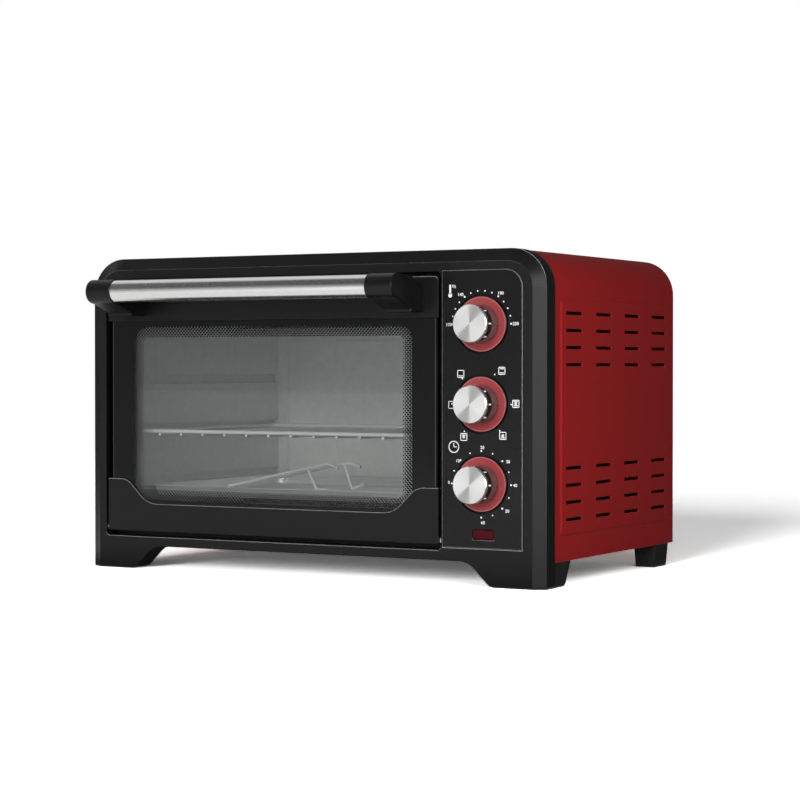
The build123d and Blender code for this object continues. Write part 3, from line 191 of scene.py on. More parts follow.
class Finish:
    """The node tree of a material, or of the world, where the place is a direction."""

    def __init__(self, owner, place="Object"):
        self.owner = owner
        owner.use_nodes = True
        self.tree = owner.node_tree
        self.tree.nodes.clear()
        self.place = self.node("ShaderNodeTexCoord", output=place)
        self.x, self.y, self.z = (
            self.node("ShaderNodeSeparateXYZ", inputs={0: self.place}, output=i) for i in range(3)
        )

    def node(self, kind, settings=None, inputs=None, output=0):
        """Add a node: settings first, then the values or links of its sockets. Returns one of its outputs."""
        made = self.tree.nodes.new(kind)
        for key, value in (settings or {}).items():
            setattr(made, key, value)
        for key, value in (inputs or {}).items():
            if isinstance(value, Number):
                self.tree.links.new(value.socket, made.inputs[key])
            elif isinstance(made.inputs[key].default_value, float):
                made.inputs[key].default_value = value
            else:
                made.inputs[key].default_value = (*value, 1.0)[: len(made.inputs[key].default_value)]
        return Number(self, made.outputs[output]) if made.outputs else None

    def noise(self, size, detail=2.0, stretch=(1, 1, 1)):
        """Noise whose blobs have about the given size in metres, stretched along the axes."""
        place = self.node("ShaderNodeMapping", inputs={"Vector": self.place, "Scale": [1 / s for s in stretch]})
        inputs = {"Vector": place, "Scale": 1 / size, "Detail": detail}
        return self.node("ShaderNodeTexNoise", inputs=inputs, output="Fac")

    def blend(self, factor, first, second):
        """Colour between two colours."""
        inputs = {0: factor, 6: first, 7: second}
        return self.node("ShaderNodeMix", {"data_type": "RGBA"}, inputs, output=2)

    def tinted(self, colour, factor, low=0.85, high=1.15):
        """A colour that varies in depth with a factor."""
        return self.blend(factor, [c * low for c in colour], [min(1.0, c * high) for c in colour])

    def rounded(self, radius):
        """Normal with the piece's edges rounded by a radius."""
        return self.node("ShaderNodeBevel", {"samples": 4}, {"Radius": radius})

    def edges(self, normal, upward=True):
        """Mask for painted edge highlights: 1 where the rounded normal softens an edge, only where it faces up unless
        told otherwise.
        """
        flat = self.node("ShaderNodeNewGeometry", output="Normal")
        dot = self.node("ShaderNodeVectorMath", {"operation": "DOT_PRODUCT"}, {0: normal, 1: flat}, output="Value")
        edge = dot.ramp(0.88, 0.985, 1.0, 0.0)
        if upward:
            edge = edge * self.node("ShaderNodeSeparateXYZ", inputs={0: normal}, output=2).ramp(0.1, 0.45)
        return edge

    def bump(self, height, distance, normal=None):
        inputs = {"Height": height, "Distance": distance}
        if normal is not None:
            inputs["Normal"] = normal
        return self.node("ShaderNodeBump", inputs=inputs)

    def brushed(self, direction, swing):
        """Normal swung to and fro along a direction in the piece's own space by a signed value."""
        push = self.node("ShaderNodeVectorMath", {"operation": "SCALE"}, {"Vector": direction, "Scale": swing})
        settings = {"vector_type": "VECTOR", "convert_from": "OBJECT", "convert_to": "WORLD"}
        push = self.node("ShaderNodeVectorTransform", settings, {"Vector": push})
        normal = self.node("ShaderNodeNewGeometry", output="Normal")
        return self.node("ShaderNodeVectorMath", {"operation": "ADD"}, {0: normal, 1: push})

    def vector(self, x=0.0, y=0.0, z=0.0):
        return self.node("ShaderNodeCombineXYZ", inputs={"X": x, "Y": y, "Z": z})

    def surface(self, **sockets):
        """Principled surface; sockets are named with underscores for spaces."""
        inputs = {key.replace("_", " "): value for key, value in sockets.items()}
        return self.node("ShaderNodeBsdfPrincipled", inputs=inputs)

    def mix(self, factor, first, second):
        return self.node("ShaderNodeMixShader", inputs={0: factor, 1: first, 2: second})

    def lobe(self, towards, inner, outer):
        """1 inside a cone round a direction, falling smoothly to 0 from its inner to its outer angle in degrees."""
        axis = Vector(towards).normalized()
        dot = self.node("ShaderNodeVectorMath", {"operation": "DOT_PRODUCT"}, {0: self.place, 1: axis}, output="Value")
        return dot.ramp(cos(radians(outer)), cos(radians(inner)))

    def done(self, shader, output="ShaderNodeOutputMaterial"):
        self.node(output, inputs={"Surface": shader})
        return self.owner


def material_finish(name):
    return Finish(bpy.data.materials.new(name))


def dress(material, *names):
    """Give CAD nodes or pieces a material."""
    for name in names:
        piece = bpy.data.objects[name]
        piece.data.materials.clear()
        piece.data.materials.append(material)


def near_border(finish, width):
    """1 within a width of the control panel's outline."""
    panel_middle = (panel_low + panel_high) / 2
    half = (panel_high - panel_low) / 2
    beside = abs(finish.x - panel_middle.x) > half.x - width
    return beside.max(abs(finish.z - panel_middle.z) > half.z - width)


def moulded(name, colour, roughness, edge, grain=0.0004, specular=0.25, shine=None, border=0.0):
    """Moulded plastic with fine grain and softened edges. A shine colour is painted on edges as a highlight: those
    that face up, or with a border width, all of those near the control panel's outline."""
    finish = material_finish(name)
    cloud = finish.noise(0.05, 3)
    fine = finish.noise(grain, 2)
    rounded = finish.rounded(edge)
    normal = finish.bump(fine, 0.00003, rounded)
    body = finish.tinted(colour, cloud, 0.8, 1.2)
    # Painted highlight: the shine colour laid on the chosen edges
    if shine:
        shining = finish.edges(rounded, upward=not border)
        if border:
            shining = shining * near_border(finish, border)
        body = finish.blend(shining, body, shine)
    return finish.done(
        finish.surface(
            Base_Color=body,
            Roughness=cloud * 0.08 + fine * 0.06 + (roughness - 0.07),
            Specular_IOR_Level=specular,
            Normal=normal,
        )
    )


def painted(name, colour, edge):
    """Semi-gloss powder coat with orange peel, and a painted highlight on all its edges."""
    finish = material_finish(name)
    cloud = finish.noise(0.08, 2)
    peel = finish.noise(0.0011, 1)
    rounded = finish.rounded(edge)
    normal = finish.bump(peel, 0.00002, rounded)
    # Painted highlight colour for the edges, lighter than the coat
    shine = [min(1.0, c * 1.7 + 0.09) for c in colour]
    coat = finish.tinted(colour, cloud, 0.93, 1.07)
    return finish.done(
        finish.surface(
            Base_Color=finish.blend(finish.edges(rounded, upward=False), coat, shine),
            Roughness=cloud * 0.05 + 0.3,
            Specular_IOR_Level=0.18,
            Normal=normal,
        )
    )


def sheet_metal(name, colour, roughness, metallic, edge):
    """Plain coated sheet with faint rolling marks and spangle."""
    finish = material_finish(name)
    spangle = finish.noise(0.006, 2)
    rolled = finish.noise(0.0008, 2, (1, 14, 1))
    return finish.done(
        finish.surface(
            Base_Color=finish.tinted(colour, spangle, 0.9, 1.1),
            Metallic=metallic,
            Roughness=spangle * 0.12 + rolled * 0.08 + (roughness - 0.1),
            Normal=finish.bump(rolled, 0.00002, finish.rounded(edge)),
        )
    )


class OVEN_OT_case(bpy.types.Operator):
    """Finish the frame, the shell, the back, the feet and the fittings on them"""

    bl_idname = "oven.case"
    bl_label = "Finish the case"

    def execute(self, context):
        colours = context.scene.oven_colours
        sizes = context.scene.oven_sizes
        # The frame's upward edges get a painted highlight
        dress(moulded("frame_moulding", colours.moulding, 0.34, 0.9 * MM, shine=colours.painted_edge_highlight), "front_frame")
        dress(painted("red_paint", colours.paint, 0.25 * MM), "outer_shell", "back_panel")
        foot = moulded("foot_plastic", colours.foot, 0.55, sizes.edge_radius, 0.6 * MM)
        feet = [f"{row}_foot_{side}" for row in ("front", "rear") for side in ("left", "right")]
        dress(foot, *feet, "wall_spacers", "cord_gland")
        zinc = sheet_metal("zinc_plating", colours.zinc, 0.4, 0.8, 0.2 * MM)
        brackets = ("control_bracket", "hinge_bracket_left", "hinge_bracket_right")
        dress(zinc, "base_plate", *brackets, "timer_body", "fan_motor")
        dress(sheet_metal("screw_steel", colours.steel, 0.35, 1.0, 0.15 * MM), "case_screws", "handle_screws")
        # The pins are coloured white as a painted glint
        dress(moulded("pin_white_glint", (0.7, 0.7, 0.69), 0.4, 0.15 * MM), "door_hinge_pins")
        return {"FINISHED"}


class OVEN_OT_vents(bpy.types.Operator):
    """Press a hood over each vent of the back panel, on its inner face"""

    bl_idname = "oven.vents"
    bl_label = "Press the vent hoods"

    def execute(self, context):
        inner_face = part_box("back_panel")[1].y - 1.0 * MM
        width, height, reach = 37.5 * MM, 3.4 * MM, 3.0 * MM
        place = (0, inner_face - reach, -0.6 * MM)
        bpy.ops.object.select_all(action="DESELECT")
        bpy.ops.mesh.primitive_plane_add(size=1, location=place, rotation=(pi / 2, 0, 0))
        hoods = context.object
        hoods.name = "back_vent_hoods"
        bpy.ops.object.transform_apply(location=True, rotation=True, scale=True)
        bpy.ops.object.mode_set(mode="EDIT")
        bpy.ops.transform.resize(value=(width, 1, height), center_override=place)
        bpy.ops.mesh.select_all(action="DESELECT")
        bpy.ops.object.mode_set(mode="OBJECT")
        top = max(vertex.co.z for vertex in hoods.data.vertices)
        for vertex in hoods.data.vertices:
            vertex.select = vertex.co.z > top - 0.1 * MM
        bpy.ops.object.mode_set(mode="EDIT")
        bpy.ops.mesh.select_mode(type="VERT")
        for step in ((0, 0.9 * MM, 1.0 * MM), (0, 2.0 * MM, 0.5 * MM)):
            bpy.ops.mesh.extrude_region_move(TRANSFORM_OT_translate={"value": step})
        bpy.ops.object.mode_set(mode="OBJECT")
        places = [(column * 50, 227.8 + row * 10) for column in range(-2, 3) for row in range(2)]
        places += [(188, first + row * 10) for first in (94.2, 147.8) for row in range(4)]
        copies = []
        for x, z in places:
            bpy.ops.object.select_all(action="DESELECT")
            hoods.select_set(True)
            context.view_layer.objects.active = hoods
            bpy.ops.object.duplicate()
            context.object.location = (x * MM, 0, z * MM)
            copies.append(context.object)
        bpy.ops.object.select_all(action="DESELECT")
        for copy in copies:
            copy.select_set(True)
        bpy.ops.object.transform_apply(location=True, rotation=True, scale=True)
        bpy.data.objects.remove(hoods)
        context.view_layer.objects.active = copies[0]
        bpy.ops.object.join()
        hoods = copies[0]
        hoods.name = hoods.data.name = "back_vent_hoods"
        for kind, values in (("SOLIDIFY", {"thickness": 0.6 * MM}), ("BEVEL", {"width": 0.15 * MM, "segments": 2})):
            modifier = hoods.modifiers.new(kind.title(), kind)
            for key, value in values.items():
                setattr(modifier, key, value)
            bpy.ops.object.modifier_apply(modifier=modifier.name)
        bpy.ops.object.mode_set(mode="EDIT")
        bpy.ops.mesh.select_all(action="SELECT")
        bpy.ops.mesh.normals_make_consistent(inside=False)
        bpy.ops.object.mode_set(mode="OBJECT")
        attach(hoods, "cabinet")
        hoods.data.materials.append(bpy.data.objects["back_panel"].data.materials[0])
        return {"FINISHED"}


class OVEN_OT_controls(bpy.types.Operator):
    """Finish the panel, the rings, the lens and the control parts behind them"""

    bl_idname = "oven.controls"
    bl_label = "Finish the controls"

    def execute(self, context):
        colours = context.scene.oven_colours
        # Painted highlight on the panel's edges near its outline
        highlighted = {"shine": colours.painted_edge_highlight, "border": 9 * MM}
        panel = moulded("panel_gloss", colours.panel, 0.22, 0.5 * MM, 1.5 * MM, **highlighted)
        dress(panel, "control_panel")
        for control, centre in dial_centre.items():
            ring = material_finish(f"ring_red_{control}")
            across, up = ring.x - centre.x, ring.z - centre.z
            radius = (across * across + up * up).root()
            cloud = ring.noise(0.01, 2)
            dish = ring.tinted(colours.ring, cloud, 0.92, 1.08)
            # Painted shadow of the knob: the dish is darker right next to it
            dish = ring.blend(radius.ramp(16.5 * MM, 17.5 * MM, 0.35, 0.0), dish, (0.05, 0.01, 0.01))
            # Painted highlight on the ring's outer bevel
            dish = ring.blend(radius.ramp(22.2 * MM, 22.9 * MM), dish, [c * 1.2 + 0.04 for c in colours.ring])
            # Painted shade in the groove round the ring
            dish = ring.blend(radius > 23.5 * MM, dish, (0.012, 0.002, 0.002))
            gloss = ring.surface(
                Base_Color=dish, Roughness=cloud * 0.1 + 0.3, Specular_IOR_Level=0.3, Normal=ring.rounded(0.3 * MM)
            )
            dress(ring.done(gloss), f"{control}_ring")
        # The lens gets a painted highlight on its upward edges
        lens = moulded("lens_red", colours.lens, 0.16, 0.4 * MM, 1.2 * MM, 0.12, (0.2, 0.012, 0.025))
        dress(lens, "indicator_lens")
        dress(moulded("ceramic_white", (0.6, 0.58, 0.52), 0.6, 0.3 * MM), "heater_insulators", "thermostat_body")
        dress(moulded("lamp_body", (0.5, 0.5, 0.48), 0.4, 0.2 * MM), "indicator_lamp")
        dress(moulded("phenolic_tan", (0.3, 0.2, 0.1), 0.5, 0.4 * MM), "function_switch_body", "terminal_block")
        dress(sheet_metal("bell_brass", (0.6, 0.42, 0.16), 0.3, 1.0, 0.2 * MM), "timer_bell")
        return {"FINISHED"}


class OVEN_OT_knobs(bpy.types.Operator):
    """Finish the knob sides, spun caps and shafts"""

    bl_idname = "oven.knobs"
    bl_label = "Finish the knobs"

    def execute(self, context):
        colours = context.scene.oven_colours
        sizes = context.scene.oven_sizes
        knob_low, knob_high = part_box("temperature_knob")
        grip_end = (knob_low.y + knob_high.y) / 2
        for control, centre in dial_centre.items():
            side = material_finish(f"knob_side_{control}")
            across = side.x - centre.x
            up = side.z - centre.z
            rib = (across * across + up * up).root() > (knob_high.x - knob_low.x) / 2 - 0.3 * MM
            grip = side.y < grip_end
            # Light dashes on the ribs of the grip: painted glints
            rib_glint = rib * (side.y < grip_end - 3 * MM) * (side.y > knob_low.y + 1.5 * MM)
            smear = side.noise(0.004, 2)
            # The rear band is metal tinted pink: a painted reflection of the red ring
            metal = side.tinted((0.2, 0.14, 0.135), smear, 0.95, 1.05)
            body = side.blend(grip, metal, (0.008, 0.008, 0.008))
            dress(
                side.done(
                    side.surface(
                        Base_Color=side.blend(rib_glint, body, (0.85, 0.85, 0.84)),
                        Metallic=(1 - grip) * 0.5,
                        Roughness=grip * 0.17 + smear * 0.04 + 0.29,
                        Specular_IOR_Level=0.2,
                        Normal=side.rounded(0.25 * MM),
                    )
                ),
                f"{control}_knob",
            )
        for control, centre in dial_centre.items():
            cap = material_finish(f"spun_steel_{control}")
            across = cap.x - centre.x
            up = cap.z - centre.z
            radius = (across * across + up * up).root()
            line = cap.node(
                "ShaderNodeTexNoise",
                {"noise_dimensions": "1D"},
                {"W": radius, "Scale": 1 / sizes.brush_pitch, "Detail": 1.0},
                output="Fac",
            )
            safe = radius.max(0.0002)
            outward = cap.vector(across / safe, 0.0, up / safe)
            face = (radius < 15.6 * MM) * (radius > 0.3 * MM)
            swing = (radius * (2 * pi / sizes.brush_pitch)).sine() * 0.22 + (line - 0.5) * 0.2
            # Painted shade: the spun face is darker in two opposite wedges, standing in for the dark sectors of its
            # reflection
            shade_wedge = abs(across * 0.42 + up * 0.91) / safe
            spun = cap.tinted(colours.steel, line, 1.15, 1.22)
            spun = cap.blend(shade_wedge.ramp(0.82, 1.0) * face, spun, [c * 0.68 for c in colours.steel])
            dress(
                cap.done(
                    cap.surface(
                        Base_Color=spun,
                        Metallic=0.9,
                        Roughness=face * 0.16 + 0.16,
                        Normal=cap.brushed(outward, swing * face),
                    )
                ),
                f"{control}_knob_cap",
            )
        shaft = sheet_metal("shaft_steel", colours.steel, 0.35, 1.0, 0.2 * MM)
        dress(shaft, *[f"{control}_shaft" for control in dial_centre])
        return {"FINISHED"}


class OVEN_OT_handle(bpy.types.Operator):
    """Finish the handle tube and its two brackets"""

    bl_idname = "oven.handle"
    bl_label = "Finish the handle"

    def execute(self, context):
        colours = context.scene.oven_colours
        sizes = context.scene.oven_sizes
        tube = material_finish("brushed_tube")
        line = tube.node(
            "ShaderNodeTexNoise",
            {"noise_dimensions": "1D"},
            {"W": tube.x, "Scale": 1 / sizes.brush_pitch, "Detail": 2.0},
            output="Fac",
        )
        scratch = tube.noise(0.004, 2, (0.1, 1, 1))
        dress(
            tube.done(
                tube.surface(
                    Base_Color=tube.tinted(colours.steel, scratch, 0.93, 1.07),
                    Metallic=1.0,
                    Roughness=scratch * 0.06 + 0.17,
                    Normal=tube.brushed(tube.vector(1.0), (line - 0.5) * 0.22),
                )
            ),
            "handle_bar",
        )
        bracket = moulded("bracket_moulding", colours.moulding, 0.33, 1.2 * MM)
        dress(bracket, "handle_bracket_left", "handle_bracket_right")
        return {"FINISHED"}


class OVEN_OT_door(bpy.types.Operator):
    """Finish the door covers and print the dotted black border on the glass"""

    bl_idname = "oven.door"
    bl_label = "Finish the door"

    def execute(self, context):
        colours = context.scene.oven_colours
        sizes = context.scene.oven_sizes
        # The covers' upward edges get a painted highlight
        cover = moulded("cover_moulding", colours.moulding, 0.33, 1.0 * MM, shine=colours.painted_edge_highlight)
        dress(cover, "door_top_cover", "door_lower_cover")

        glass = material_finish("printed_glass")
        glass_middle = (glass_low.x + glass_high.x) / 2
        glass_half = (glass_high.x - glass_low.x) / 2
        left, right, bottom, top = window
        window_x, window_z = (left + right) / 2, (bottom + top) / 2
        half_x, half_z = (right - left) / 2, (top - bottom) / 2
        corner = sizes.window_radius
        out_x = (abs(glass.x - window_x) - (half_x - corner)).max(0.0)
        out_z = (abs(glass.z - window_z) - (half_z - corner)).max(0.0)
        inside_x = (abs(glass.x - window_x) - (half_x - corner)).min(0.0)
        inside_z = (abs(glass.z - window_z) - (half_z - corner)).min(0.0)
        edge = (out_x * out_x + out_z * out_z).root() + inside_x.max(inside_z) - corner
        depth_in = (edge * -1.0) / sizes.frit_width
        turn = 2 * pi / sizes.frit_pitch
        screen = (glass.x * turn).sine() * (glass.z * turn).sine()
        dots = screen < (depth_in * 0.4 - 0.04)
        clear = (depth_in > 1.0).max((depth_in > 0.0) * dots)
        fresnel = glass.node("ShaderNodeFresnel", inputs={"IOR": 1.45})
        shade = glass.node("ShaderNodeLightPath", output="Is Shadow Ray")
        tint = glass.blend(shade, (0.96, 0.975, 0.967), (0.6, 0.61, 0.605))
        pane = glass.mix(
            fresnel,
            glass.node("ShaderNodeBsdfTransparent", inputs={"Color": tint}),
            glass.node("ShaderNodeBsdfGlossy", inputs={"Roughness": 0.02}),
        )
        ink_noise = glass.noise(0.03, 2)
        # Painted highlight: the pane's left and right edges are lighter
        rim = abs(glass.x - glass_middle) > glass_half - 0.9 * MM
        ink = glass.surface(
            Base_Color=glass.blend(rim, glass.tinted((0.004, 0.004, 0.0045), ink_noise), (0.03, 0.034, 0.033)),
            Roughness=ink_noise * 0.05 + 0.08,
            Specular_IOR_Level=0.2,
        )
        dress(glass.done(glass.mix(clear, ink, pane)), "door_glass")
        return {"FINISHED"}


class OVEN_OT_cavity(bpy.types.Operator):
    """Finish the cavity, its heating tubes, the rack, the tray and the fan"""

    bl_idname = "oven.cavity"
    bl_label = "Finish the cavity"

    def execute(self, context):
        colours = context.scene.oven_colours
        walls = ("cavity_left_wall", "cavity_right_wall", "cavity_top", "cavity_floor", "cavity_back")
        steel = sheet_metal("cavity_steel", colours.cavity, 0.5, 0.25, 0.8 * MM)
        dress(steel, *walls, "crumb_tray", "fan_blade")
        flange = material_finish("flange_steel")
        spangle = flange.noise(0.006, 2)
        inside = (flange.x > window[0] - 8 * MM) * (flange.x < window[1] + 8 * MM)
        inside = inside * (flange.z > window[2] - 8 * MM) * (flange.z < window[3] + 8 * MM)
        dress(
            flange.done(
                flange.surface(
                    Base_Color=flange.blend(inside, colours.panel, flange.tinted(colours.cavity, spangle, 0.7, 0.85)),
                    Roughness=spangle * 0.1 + 0.45,
                    Specular_IOR_Level=0.3,
                )
            ),
            "cavity_front_flange",
        )
        dress(sheet_metal("tray_steel", colours.cavity, 0.4, 0.7, 0.6 * MM), "baking_tray")
        tubes = [f"heater_{level}_{place}" for level in ("lower", "upper") for place in ("front", "rear")]
        dress(sheet_metal("heater_steel", (0.12, 0.12, 0.125), 0.45, 0.9, 0.2 * MM), *tubes)
        wire = material_finish("bright_wire")
        smear = wire.noise(0.006, 2)
        dress(
            wire.done(
                wire.surface(
                    Base_Color=wire.tinted(colours.chrome, smear, 1.15, 1.25),
                    Metallic=0.15,
                    Roughness=smear * 0.1 + 0.3,
                )
            ),
            "wire_rack",
            "tray_tool",
        )
        return {"FINISHED"}


# Printed marks


def start_flat(name):
    """Empty mesh piece at the origin, left in edit mode, for flat marks on the panel."""
    bpy.ops.object.select_all(action="DESELECT")
    bpy.ops.mesh.primitive_plane_add(size=1)
    piece = bpy.context.object
    piece.name = name
    bpy.ops.object.mode_set(mode="EDIT")
    bpy.ops.mesh.select_all(action="SELECT")
    bpy.ops.mesh.delete(type="VERT")
    return piece


def add_bar(x, z, width, height, turn=0.0):
    """Flat bar on the panel's face, in the piece being edited, turned about its middle."""
    place = (x, print_face, z)
    bpy.ops.mesh.primitive_plane_add(size=width, location=place, rotation=(pi / 2, 0, 0))
    bpy.ops.transform.resize(value=(1, 1, height / width))
    if turn:
        bpy.ops.transform.rotate(value=-turn, orient_axis="Y", center_override=place)


def add_disc(x, z, radius, sides=16):
    bpy.ops.mesh.primitive_circle_add(
        vertices=sides, radius=radius, fill_type="NGON", location=(x, print_face, z), rotation=(pi / 2, 0, 0)
    )


def add_circle_line(x, z, radius, width, sides=28):
    """Circle drawn as short bars."""
    step = 2 * pi / sides
    for i in range(sides):
        angle = i * step
        add_bar(x + radius * cos(angle), z + radius * sin(angle), width, radius * step * 1.1, angle)


def end_flat(piece, depth):
    """Give the drawn marks their thickness and leave edit mode."""
    bpy.ops.mesh.select_all(action="SELECT")
    bpy.ops.mesh.extrude_region_move(TRANSFORM_OT_translate={"value": (0, -depth, 0)})
    bpy.ops.mesh.select_all(action="SELECT")
    bpy.ops.mesh.normals_make_consistent(inside=False)
    bpy.ops.object.mode_set(mode="OBJECT")
    return piece


def add_number(text, x, z, height, depth):
    """Number as a mesh on the panel's face."""
    bpy.ops.object.select_all(action="DESELECT")
    bpy.ops.object.text_add(location=(x, print_face, z), rotation=(pi / 2, 0, 0))
    number = bpy.context.object
    number.data.body = text
    number.data.size = height / 0.7
    number.data.align_x = "CENTER"
    number.data.align_y = "CENTER"
    number.data.extrude = depth
    number.data.offset = height * 0.012
    number.data.resolution_u = 2
    bpy.ops.object.convert(target="MESH")
    bpy.ops.object.transform_apply(location=True, rotation=True, scale=True)
    return bpy.context.object


def join_marks(name, flat, numbers):
    """Join flat marks and numbers into one piece that rides on the cabinet."""
    bpy.ops.object.select_all(action="DESELECT")
    for part in (flat, *numbers):
        part.select_set(True)
    bpy.context.view_layer.objects.active = flat
    if numbers:
        bpy.ops.object.join()
    flat.name = name
    flat.data.name = name
    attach(flat, "cabinet")
    return flat


class OVEN_OT_marks(bpy.types.Operator):
    """Print the dots, the numbers and the signs round the three dials"""

    bl_idname = "oven.marks"
    bl_label = "Print the dials"

    def execute(self, context):
        sizes = context.scene.oven_sizes
        dot, dial, depth = sizes.dot_radius, sizes.dial_radius, sizes.ink_depth
        line, sign, digit = sizes.line_width, sizes.sign_size, sizes.digit_height

        def on_dial(centre, degrees, radius):
            """Place at a clock angle: 0 is nine o'clock, growing clockwise."""
            angle = pi - radians(degrees)
            return centre.x + radius * cos(angle), centre.z + radius * sin(angle)

        centre = dial_centre["temperature"]
        flat = start_flat("temperature_marks")
        steps = 13
        for i in range(steps + 1):
            x, z = on_dial(centre, 180 * i / steps, dial)
            add_disc(x, z, dot * (1.25 if i in (0, 4, 9, steps) else 1.0))
        tube_x, tube_z = centre.x - 30.2 * MM, centre.z + 29.2 * MM
        add_disc(tube_x, tube_z - 4.2 * MM, 1.9 * MM)
        add_bar(tube_x, tube_z + 0.6 * MM, 1.7 * MM, 8.4 * MM)
        add_circle_line(tube_x + 3.0 * MM, tube_z + 3.6 * MM, 0.9 * MM, 0.4 * MM, 12)
        add_bar(tube_x + 4.9 * MM, tube_z + 3.2 * MM, 0.5 * MM, 2.6 * MM)
        end_flat(flat, depth)
        numbers = [
            add_number(text, x * MM, z * MM, digit, depth)
            for text, x, z in (
                ("100", 147.3, 225.0),
                ("140", 158.9, 250.7),
                ("190", 197.4, 251.3),
                ("230", 211.8, 225.2),
            )
        ]
        pieces = [join_marks("temperature_marks", flat, numbers)]

        flat = start_flat("function_marks")
        for kind, x, z in (
            ("off", 150.4, 156.0),
            ("lower", 159.1, 182.7),
            ("both", 198.6, 185.4),
            ("both_fan", 211.9, 157.4),
            ("lower_fan", 199.6, 130.1),
            ("upper_fan", 162.1, 128.6),
        ):
            x, z, half = x * MM, z * MM, sign / 2
            for side in (-1, 1):
                add_bar(x + side * half, z, line, sign + line)
                add_bar(x, z + side * half, sign + line, line)
            if kind in ("lower", "both", "both_fan", "lower_fan"):
                add_bar(x, z - half + 1.3 * MM, sign * 0.7, line)
            if kind in ("both", "both_fan", "upper_fan"):
                add_bar(x, z + half - 1.3 * MM, sign * 0.7, line)
            if "fan" in kind:
                for turn in (0, pi / 3, 2 * pi / 3):
                    add_bar(x, z, 2.8 * MM, 0.7 * MM, turn)
        for degrees in (0, 50, 117, 180, 232, 305):
            x, z = on_dial(dial_centre["function"], degrees, dial)
            add_disc(x, z, dot)
        end_flat(flat, depth)
        pieces.append(join_marks("function_marks", flat, []))

        centre = dial_centre["timer"]
        flat = start_flat("timer_marks")
        for i in range(13):
            x, z = on_dial(centre, 22.5 * i, dial)
            add_disc(x, z, dot * (1.25 if i % 2 == 0 else 1.0))
        clock_x, clock_z = 152.4 * MM, 119.9 * MM
        add_circle_line(clock_x, clock_z, 4.8 * MM, line)
        add_bar(clock_x, clock_z + 1.5 * MM, line, 3.4 * MM)
        add_bar(clock_x + 1.3 * MM, clock_z, 3.0 * MM, line)
        end_flat(flat, depth)
        numbers = [
            add_number(text, x * MM, z * MM, digit, depth)
            for text, x, z in (
                ("0", 147.6, 89.0),
                ("10", 156.3, 107.8),
                ("20", 180.0, 119.7),
                ("30", 204.6, 108.0),
                ("40", 211.4, 88.0),
                ("50", 203.9, 66.0),
                ("60", 180.6, 55.4),
            )
        ]
        pieces.append(join_marks("timer_marks", flat, numbers))

        ink = material_finish("white_ink")
        patchy = ink.noise(0.0006, 2)
        ink = ink.done(
            ink.surface(
                Base_Color=ink.tinted(context.scene.oven_colours.ink, patchy, 0.9, 1.05),
                Roughness=patchy * 0.2 + 0.4,
            )
        )
        dress(ink, *[piece.name for piece in pieces])
        return {"FINISHED"}


def add_card(name, place, size, towards, level):
    """Flat card that only reflections see: a studio flag or a soft light box."""
    bpy.ops.object.select_all(action="DESELECT")
    turn = Vector(towards).to_track_quat("Z", "Y").to_euler()
    bpy.ops.mesh.primitive_plane_add(size=1, location=place, rotation=turn)
    card = bpy.context.object
    card.name = name
    card.scale = (*size, 1)
    glow = material_finish(f"{name}_glow")
    card.data.materials.append(glow.done(glow.node("ShaderNodeEmission", inputs={"Color": (level,) * 3})))
    card.visible_camera = False
    card.visible_diffuse = False
    card.visible_transmission = False
    card.visible_shadow = False


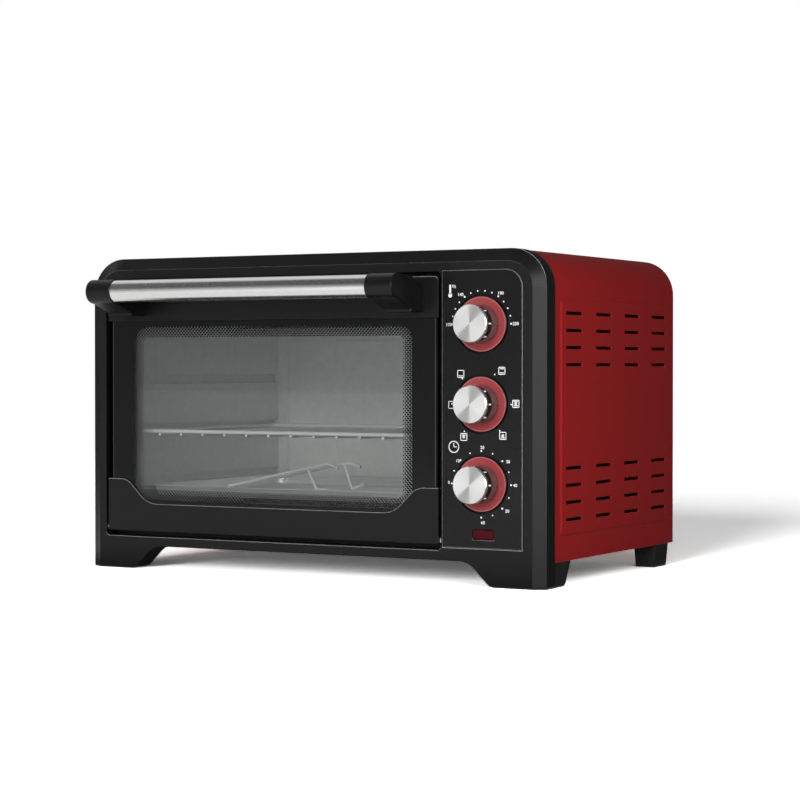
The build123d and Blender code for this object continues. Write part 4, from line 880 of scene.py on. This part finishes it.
class OVEN_OT_studio(bpy.types.Operator):
    """Set up the pale floor, the soft lights and the camera"""

    bl_idname = "oven.studio"
    bl_label = "Set up the studio"

    def execute(self, context):
        scene = context.scene
        studio = scene.oven_studio
        bpy.ops.object.select_all(action="DESELECT")
        bpy.ops.mesh.primitive_plane_add(size=24)
        floor = context.object
        floor.name = "studio_floor"
        ground = material_finish("floor_white")
        seen = ground.node("ShaderNodeLightPath", output="Is Camera Ray")
        seen = seen.max(ground.node("ShaderNodeLightPath", output="Is Transmission Ray"))
        mirrored = ground.node("ShaderNodeLightPath", output="Is Glossy Ray")
        far = (ground.x * ground.x + ground.y * ground.y).root().ramp(1.8, 3.2)
        lit = ground.node("ShaderNodeBsdfDiffuse", inputs={"Color": scene.oven_colours.floor})
        shiny = ground.node("ShaderNodeBsdfDiffuse", inputs={"Color": (studio.floor_mirrored,) * 3})
        lifted = ground.node("ShaderNodeBsdfDiffuse", inputs={"Color": (studio.floor_seen,) * 3})
        white = ground.node("ShaderNodeEmission", inputs={"Color": (1, 1, 1), "Strength": 1.0})
        floor.data.materials.append(ground.done(
            ground.mix(seen, ground.mix(mirrored, lit, shiny), ground.mix(far, lifted, white))
        ))

        sky = Finish(bpy.data.worlds.new("studio_world"), "Generated")
        scene.world = sky.owner
        camera_ray = sky.node("ShaderNodeLightPath", output="Is Camera Ray")
        clear_ray = sky.node("ShaderNodeLightPath", output="Is Transmission Ray")
        glossy_ray = sky.node("ShaderNodeLightPath", output="Is Glossy Ray")
        level = sky.z.ramp(0.0, 0.42, 0.6, 0.12) + sky.z.ramp(0.93, 1.0, 0.0, 0.5)
        level = level + sky.lobe((-0.907, -0.134, 0.40), 7, 24) * 3.0
        level = level + sky.lobe((0.69, -0.72, 0.05), 17, 32) * 6.0
        level = level + sky.lobe((-0.45, 0.35, 0.82), 12, 36) * 0.8
        glossy = sky.node("ShaderNodeBackground", inputs={"Strength": level})
        even = sky.z.ramp(0.0, 0.8, 0.045, 0.11) + sky.lobe((0, -1, 0.1), 25, 75) * 0.43
        even = even + sky.lobe((-0.2, 1, 0.0), 10, 34) * 1.0
        soft = sky.node("ShaderNodeBackground", inputs={"Strength": even})
        plain = sky.node("ShaderNodeBackground", inputs={"Color": (1, 1, 1), "Strength": 1.0})
        lit_sky = sky.mix(camera_ray.max(clear_ray), sky.mix(glossy_ray, soft, glossy), plain)
        sky.done(lit_sky, "ShaderNodeOutputWorld")

        add_card("side_flag", (0.50, 0.62, 0.42), (1.9, 0.9), (-0.3, -0.95, 0), 0.06)
        add_card("floor_flag", (0.55, 0.25, 0.002), (0.72, 1.3), (0, 0, 1), 0.05)
        add_card("front_flag", (-0.15, -0.34, 0.001), (1.1, 0.36), (0, 0, 1), 0.85)
        add_card("base_flag", (0.0, -0.125, 0.0015), (0.62, 0.13), (0, 0, 1), 0.04)
        add_card("left_flag", (-0.9, 0.0, 0.2), (0.5, 1.2), (1, 0, 0), 0.08)

        turn = (pi / 2 - studio.key_elevation, 0, studio.key_azimuth)
        bpy.ops.object.light_add(type="SUN", rotation=turn)
        key = context.object
        key.name = "key_light"
        key.data.energy = studio.key_energy
        key.data.angle = studio.key_angle
        key.visible_glossy = False
        bpy.ops.object.light_add(type="AREA", location=(0.62, -0.45, 0.3))
        fill = context.object
        fill.name = "side_fill"
        fill.rotation_euler = Vector((0.4, -0.45, 0.15)).to_track_quat("Z", "Y").to_euler()
        fill.data.energy = studio.fill_energy
        fill.data.size = 0.3
        fill.visible_camera = False
        fill.visible_glossy = False

        bpy.ops.object.light_add(type="AREA", location=(-0.2, -1.6, 0.22), rotation=(pi / 2, 0, 0))
        window_light = context.object
        window_light.name = "window_light"
        window_light.data.energy = studio.window_energy
        window_light.data.size = 0.5
        window_light.visible_camera = False
        window_light.visible_glossy = False

        bpy.ops.object.camera_add(
            location=(1.05012, -1.80119, 0.18945), rotation=(radians(90 - 0.88), 0, radians(29.53))
        )
        camera = context.object
        camera.name = "photo_camera"
        camera.data.sensor_width = 36
        camera.data.lens = 36 * 2211.61 / 800
        scene.camera = camera
        scene.view_settings.view_transform = "Standard"
        return {"FINISHED"}


class OVEN_PT_sidebar(bpy.types.Panel):
    """Lists the oven's operators and settings"""

    bl_idname = "OVEN_PT_sidebar"
    bl_label = "Countertop Oven"
    bl_space_type = "VIEW_3D"
    bl_region_type = "UI"
    bl_category = "Oven"

    def draw(self, context):
        layout = self.layout
        for group in (context.scene.oven_colours, context.scene.oven_sizes, context.scene.oven_studio):
            box = layout.box()
            for name in group.bl_rna.properties.keys():
                if name not in ("rna_type", "name"):
                    box.prop(group, name)
        for operator in operators:
            layout.operator(operator.bl_idname)


operators = (
    OVEN_OT_case,
    OVEN_OT_vents,
    OVEN_OT_controls,
    OVEN_OT_knobs,
    OVEN_OT_handle,
    OVEN_OT_door,
    OVEN_OT_cavity,
    OVEN_OT_marks,
    OVEN_OT_studio,
)
groups = (OvenColours, OvenSizes, OvenStudio)


def register():
    for added in (*groups, *operators, OVEN_PT_sidebar):
        bpy.utils.register_class(added)
    bpy.types.Scene.oven_colours = bpy.props.PointerProperty(type=OvenColours)
    bpy.types.Scene.oven_sizes = bpy.props.PointerProperty(type=OvenSizes)
    bpy.types.Scene.oven_studio = bpy.props.PointerProperty(type=OvenStudio)


def unregister():
    del bpy.types.Scene.oven_studio
    del bpy.types.Scene.oven_sizes
    del bpy.types.Scene.oven_colours
    for added in reversed((*groups, *operators, OVEN_PT_sidebar)):
        bpy.utils.unregister_class(added)


def main():
    register()
    for step in ("case", "vents", "controls", "knobs", "handle", "door", "cavity", "marks", "studio"):
        getattr(bpy.ops.oven, step)()


if __name__ == "__main__":
    main()
